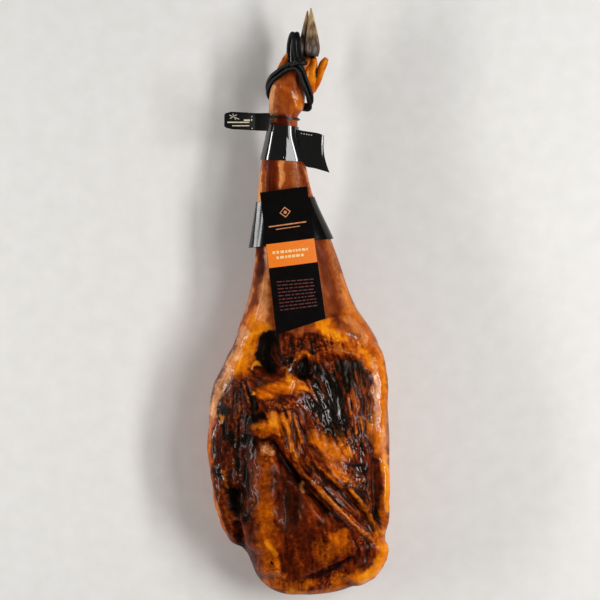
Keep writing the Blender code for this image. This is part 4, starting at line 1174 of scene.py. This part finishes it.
def strapRibs(material):
    across, up = (part[None, :] for part in sectionRing(seal["ribPath"], seal["ribPath"]))
    lift = seal["gap"] + seal["thickness"] + seal["ribGap"]
    path = roundLeg(seal["place"] + seal["lean"] * across, across, up, lift)[0]
    ribSize = [side * mm for side in seal["ribSize"]]
    values = {"Count": seal["ribs"], "Rib Size": ribSize, "Material": material}
    return curveMesh("strapRibs", path, True, ribTree(), values)


def makeSeal():
    # Injection-moulded nylon: even and black, with a fine mould grain.
    plastic = plainFinish("mouldedNylon", 7, 3, ((0.3, "030303"), (0.7, "0A0A0A")), (0.30, 0.42),
                          (0.8, 2, 0.0002, 0.5), IOR=1.5, Specular_IOR_Level=0.35)
    across, up = sectionRing(seal["sides"], seal["sides"])
    rows = seal["place"] + seal["width"] * np.linspace(-0.5, 0.5, 3)[:, None]
    rows = rows + seal["lean"] * across[None, :]
    strap = sheetPart(roundLeg(rows, across, up, seal["gap"]), seal["thickness"], True)
    low, high = seal["tagHeight"]
    parts = [strap, slabPart(seal["housing"], *seal["housingHeight"], 0, seal["housingEdge"]),
             slabPart(seal["tag"], low, high, 0, seal["tagEdge"])]
    ink = (high - seal["inkSink"], high + seal["inkHeight"], 1)
    parts += [barPart(*mark, *ink) for mark in seal["marks"]]
    parts += [linePart(*mark, *ink) for mark in seal["sprig"]]
    base = meshPiece("sealBase", parts, [plastic, inkMaterial("creamInk", "B8A890", "E8DCC4")])
    sharpen(base, 40)
    whole = joined("sealStrap", [base, strapRibs(plastic)])
    finishPiece(whole, "seal_strap")
    print("seal:", len(whole.data.polygons), "faces")


# The shiny band round the shank.

band = {
    "low": 205.0, "high": 256.0, "lean": -1.8, "gap": 1.2, "thickness": 1.2, "rows": 26, "sides": 56,
    "creases": 0.35, "creaseSize": 16, "around": 160, "flat": ((-9, -21.5), (-12.5, -17.5), -0.30, 2.2),
    "flapTop": ((-4.2, 250.5), (6, 248.6), (28, 245), (36.2, 241.8)),
    "flapLow": ((4.6, 206.5), (10.5, 196.6), (24, 193.6), (44.4, 187.6)), "flapWaist": 3.8,
    "flapHeight": 84.9, "flapThickness": 1.2, "flapRows": 26, "flapColumns": 30,
    # of the flap: fold's place, half width, rise; wave's rise, turns across and along; rim's width, rise
    "fold": (0.86, 0.05, 0.8), "wave": (0.35, 7, 3), "rim": (0.05, 0.5),
    # printed bars: their left ends, width and how much every second one is less, line, height
    "bars": (2.6, 6.6, 10.2, 13.6, 17.2), "barWidth": (1.8, 0.3), "barLine": (243.9, -0.16, 2, 1.5),
    "barHeight": (86.3, 86.75),
}


def flattened(grid, count, low, high, slope, fade):
    # a wrap's upper side made flat between two places across: inner and outer, at its low and high edge
    for row, share in zip(grid, np.linspace(0, 1, len(grid))):
        inner, outer = (a + (b - a) * share for a, b in zip(low, high))
        x, z = row[:count, 0], row[:count, 2]
        flat = np.interp(inner, x[::-1], z[::-1]) + slope * (x - inner)
        out, width = (inner - x), inner - outer
        near = (out > 0) * (1 - eased(out, width, width + fade))
        row[:count, 2] = z + np.maximum(flat - z, 0) * near
    return grid


def makeBand():
    # Black printed polyester film with a gloss lacquer: long clear highlights, slightly wavy.
    film = plainFinish("glossPolyesterFilm", 14, 2, ((0.3, "020202"), (0.75, "060505")), (0.10, 0.2),
                       (14, 2, 0.0006, 0.35), IOR=1.5, Coat_Weight=1.0, Coat_Roughness=0.04)
    across, up = sectionRing(band["sides"], band["sides"])
    rows = np.linspace(band["low"], band["high"], band["rows"])[:, None] + band["lean"] * across[None, :]
    turn = np.arange(len(across)) / len(across)
    crease = waves(rows, turn[None, :] * band["around"], band["creaseSize"], 61) + 0.4
    lift = band["gap"] + band["creases"] * crease * 0.7
    grid = flattened(roundLeg(rows, across, up, lift), band["sides"], *band["flat"])
    wrap = sheetPart(grid, band["thickness"], True)
    share = np.linspace(0, 1, band["flapColumns"])
    places = np.linspace(0, 1, 4)
    top, low = (np.stack([smoothCurve(places, [p[k] for p in band[edge]], share) for k in (0, 1)], 1)
                for edge in ("flapTop", "flapLow"))
    down = np.linspace(0, 1, band["flapRows"])[:, None, None]
    flat = low[None] + (top - low)[None] * down
    flat[:, :, 0] -= band["flapWaist"] * np.sin(math.pi * down[:, :, 0]) * share[None, :] ** 3
    foldAt, foldWidth, foldRise = band["fold"]
    waveRise, waveAcross, waveAlong = band["wave"]
    rimWidth, rimRise = band["rim"]
    down, share = down[:, :, 0], share[None, :]
    fold = np.exp(-((share - foldAt) / foldWidth) ** 2) * foldRise
    wavy = waveRise * np.sin(share * waveAcross + down * waveAlong) * eased(share, 0.05, 0.3)
    rim = np.exp(-(down / rimWidth) ** 2) * rimRise * eased(share, 0.1, 0.3)
    height = np.broadcast_to(band["flapHeight"] + fold + wavy + rim - 0.3, flat.shape[:2])
    flap = sheetPart(np.dstack([flat, height]), band["flapThickness"], False, flip=-1)
    parts = [wrap, flap]
    start, slope, origin, tall = band["barLine"]
    width, less = band["barWidth"]
    for k, x in enumerate(band["bars"]):
        y = start + slope * (x - origin)
        parts.append(barPart(x, y, x + width - less * (k % 2), y + tall, *band["barHeight"], 1))
    whole = meshPiece("shankBand", parts, [film, inkMaterial("silverInk", "A8A29A", "DCD6CC")])
    sharpen(whole, 50)
    finishPiece(whole, "shank_band")
    print("band:", len(whole.data.polygons), "faces")


# The collar and the long label.

collar = {
    "topLeft": 145.0, "topRight": 153.0, "lowLeft": 79.0, "lowRight": 92.0,
    "standOffLeft": 9.0, "standOff": 2.4, "gap": 1.2, "thickness": 0.8, "rows": 22, "sides": 60,
    "flat": ((-60.5, -67.5), (-53.5, -60.5), 0.66, 2.5),
}

label = {
    "top": ((-56.5, 158.5), (11.5, 167.5)), "low": ((-32.5, -47.5), (38.5, -24.0)), "size": (206, 69),
    "bend": 2.0, "lifts": ((0, 5.2), (0.34, 7.8), (1, 3.4)), "thickness": 0.8, "rows": 90, "columns": 30,
    "inkHeight": 0.12, "inkSink": 0.03,
    # print: down at the left edge, down at the right edge, then left and right share across
    "orangeField": ((0.366, 0.394), (0.532, 0.572)), "fieldEdge": 0.004,
    "creamRows": ((0.428, 0.468, 0.115, 0.84), (0.466, 0.506, 0.185, 0.79)), "creamHalf": 0.0095,
    "smallRows": {"count": 9, "first": (0.632, 0.697), "last": (0.832, 0.893), "left": 0.13, "right": 0.87},
    "smallHalf": 0.0036,
    "creamDashes": (0.03, 0.09, 0.022), "smallDashes": (0.03, 0.13, 0.02),  # shortest, longest, gap
    "emblem": {"centre": (0.165, 0.475), "size": 8.2, "width": 1.3, "bead": 2.4, "beadSides": 16},
    "doubleRule": ((0.247, 0.262, 0.10, 0.88, 0.9), (0.272, 0.287, 0.24, 0.74, 0.55)),
}


def makeCollar(card):
    share = np.linspace(0, 1, collar["rows"])[:, None]
    across, up = sectionRing(collar["sides"], collar["sides"])
    aside = (across[None, :] + 1) / 2
    low = collar["lowLeft"] + (collar["lowRight"] - collar["lowLeft"]) * aside
    high = collar["topLeft"] + (collar["topRight"] - collar["topLeft"]) * aside
    standOff = collar["standOff"] + (collar["standOffLeft"] - collar["standOff"]) * (1 - aside) ** 6
    grid = roundLeg(low + (high - low) * share, across, up, collar["gap"] + standOff * (1 - share))
    grid = flattened(grid, collar["sides"], *collar["flat"])
    whole = meshPiece("labelCollar", [sheetPart(grid, collar["thickness"], True)], [card])
    sharpen(whole, 50)
    finishPiece(whole, "label_collar")


def labelPoint(down, over, above=0.0):
    down, over = np.broadcast_arrays(np.asarray(down, float), np.asarray(over, float))
    (tl, tr), (ll, lr) = label["top"], label["low"]
    upperEdge = [tl[k] + (tr[k] - tl[k]) * over for k in (0, 1)]
    lowerEdge = [ll[k] + (lr[k] - ll[k]) * over for k in (0, 1)]
    x = upperEdge[0] + (lowerEdge[0] - upperEdge[0]) * down
    y = upperEdge[1] + (lowerEdge[1] - upperEdge[1]) * down
    lift = smoothCurve([p for p, _ in label["lifts"]], [h for _, h in label["lifts"]], down)
    z = legSizes(y)[3] + lift - label["bend"] * (2 * over - 1) ** 2
    return np.stack([x, y, z + above], axis=-1)


def printPart(downs, overs, kind, columns=4, rows=2, above=0.0):
    # a patch of ink that follows the card: downs are two slanted lines, overs two shares across
    over = np.linspace(overs[0], overs[1], columns)[None, :]
    first, last = (line[0] + (line[1] - line[0]) * over for line in downs)
    down = first + (last - first) * np.linspace(0, 1, rows)[:, None]
    grid = labelPoint(down, over, label["thickness"] - label["inkSink"] + above)
    return sheetPart(grid, label["inkHeight"], False, kind)


def ruleParts(left, right, half, spans, kind, *more):  # ruled line, whole or broken into spans
    downs = ((left - half, right - half), (left + half, right + half))
    return [printPart(downs, span, kind, *more) for span in spans]


def dashes(left, right, seed, shortest, longest, gap):  # shares across of a broken rule
    draw = np.random.default_rng(seed)
    at, found = left, []
    while at < right - shortest:
        length = draw.uniform(shortest, longest)
        found.append((at, min(at + length, right)))
        at += length + gap * draw.uniform(0.8, 1.5)
    return found


def emblemPart(kind):  # a plain lozenge frame with a bead in it
    emblem = label["emblem"]
    (down0, over0), size, width = emblem["centre"], emblem["size"], emblem["width"]

    def ring(turn, reach):
        down, over = np.sin(turn) * reach / label["size"][0], np.cos(turn) * reach / label["size"][1]
        return labelPoint(down0 - down, over0 + over, label["thickness"] - label["inkSink"])

    square = np.arange(5) * math.pi / 2
    corners = [ring(square, reach) for reach in (size, size - width * 1.4)]
    frameGrid = np.stack([np.concatenate([np.linspace(a, b, 6, endpoint=False)
                                          for a, b in zip(line, line[1:])]) for line in corners])
    dot = ring(np.arange(emblem["beadSides"]) * 2 * math.pi / emblem["beadSides"], emblem["bead"])
    dotGrid = np.stack([dot, dot.mean(0) + (dot - dot.mean(0)) * 0.02])
    return [sheetPart(grid, label["inkHeight"], True, kind, flip=-1) for grid in (frameGrid, dotGrid)]


def makeLabel(card):
    inks = [inkMaterial(*ink) for ink in (
        ("orangeInk", "EE7406", "F8820E"), ("creamFieldInk", "F0C880", "FFE2A8"),
        ("copperInk", "B8683C", "E8A070"), ("dullRedInk", "4A1C18", "6E2E26"))]
    grid = labelPoint(np.linspace(0, 1, label["rows"])[:, None], np.linspace(0, 1, label["columns"])[None, :])
    parts = [sheetPart(grid, label["thickness"], False)]
    parts.append(printPart(label["orangeField"], (label["fieldEdge"], 1 - label["fieldEdge"]), 1, 30, 18))
    for k, (left, right, start, end) in enumerate(label["creamRows"]):
        spans = dashes(start, end, 70 + k, *label["creamDashes"])
        parts += ruleParts(left, right, label["creamHalf"], spans, 2, 4, 2, 0.1)
    rows = label["smallRows"]
    for k in range(rows["count"]):
        t = k / (rows["count"] - 1)
        left, right = (a + (b - a) * t for a, b in zip(rows["first"], rows["last"]))
        spans = dashes(rows["left"], rows["right"], 80 + k, *label["smallDashes"])
        parts += ruleParts(left, right, label["smallHalf"], spans, 4)
    for left, right, start, end, half in label["doubleRule"]:
        parts += ruleParts(left, right, half / label["size"][0], [(start, end)], 3, 24)
    parts += emblemPart(3)
    whole = meshPiece("labelCard", parts, [card, *inks])
    sharpen(whole, 50)
    finishPiece(whole, "label_card")
    print("label:", len(whole.data.polygons), "faces")


# Floor, lights and camera.

studio = {
    "floorSize": 30.0, "floorColours": ("E8E6E2", "EDEBE8"),
    "lights": {  # place, what it points at, width, length, watts
        "rightBox": ((1.70, -0.06, 1.65), (0.0, -0.06, 0.07), 0.32, 1.84, 36),
        "leftStrip": ((-2.11, -0.05, 0.92), (-0.05, -0.05, 0.07), 0.24, 1.84, 34),
        "topBox": ((1.79, 0.19, 2.69), (0, 0, 0.1), 0.70, 1.76, 24),
    },
    "world": ("F4F2EE", 0.13),
    "camera": {"place": (0.00146, 0.0029, 5.57), "lens": 226.7, "sensor": 36.0},
}


def pointAt(thing, target):
    gap = [t - p for t, p in zip(target, thing.location)]
    flat = math.hypot(gap[0], gap[1])
    thing.rotation_euler = (math.atan2(flat, -gap[2]), 0, math.atan2(-gap[0], gap[1]))


def makeStudio():
    size = studio["floorSize"] / 2
    corners = [(-size, -size, 0), (size, -size, 0), (size, size, 0), (-size, size, 0)]
    mesh = bpy.data.meshes.new("floor")
    mesh.from_pydata(corners, [], [[0, 1, 2, 3]])
    floor = placedObject("floor", mesh)
    # Seamless studio paper: matt, near white, with a faint tooth.
    stops = tuple(zip((0.3, 0.7), studio["floorColours"]))
    mesh.materials.append(plainFinish("paleSeamlessPaper", 25, 3, stops, Roughness=0.9))
    for name, (place, target, wide, long, watts) in studio["lights"].items():
        lamp = bpy.data.lights.new(name, "AREA")
        lamp.shape, lamp.size, lamp.size_y, lamp.energy = "RECTANGLE", long, wide, watts
        holder = placedObject(name, lamp)
        holder.location = place
        pointAt(holder, target)
    world = bpy.data.worlds.new("softRoom")
    world.use_nodes = True
    background = world.node_tree.nodes["Background"]
    background.inputs["Color"].default_value = linearColour(studio["world"][0])
    background.inputs["Strength"].default_value = studio["world"][1]
    bpy.context.scene.world = world
    lens = bpy.data.cameras.new("camera")
    lens.lens, lens.sensor_width = studio["camera"]["lens"], studio["camera"]["sensor"]
    camera = placedObject("camera", lens)
    camera.location = studio["camera"]["place"]
    bpy.context.scene.camera = camera
    bpy.context.scene.view_settings.view_transform = "Standard"


makeHam()
makeClaw("claw_left")
makeClaw("claw_right")
print("claws made")
makeCord()
makeSeal()
makeBand()
# Black laminated card: smooth glossy face, faint fibre mottling, duller at handled places.
blackCard = plainFinish("laminatedBlackCard", 11, 4, ((0.3, "030202"), (0.7, "080605")), (0.10, 0.2),
                        (0.9, 2, 0.0001, 0.05), IOR=1.46, Specular_IOR_Level=0.35)
makeCollar(blackCard)
makeLabel(blackCard)
makeStudio()
print("studio made")
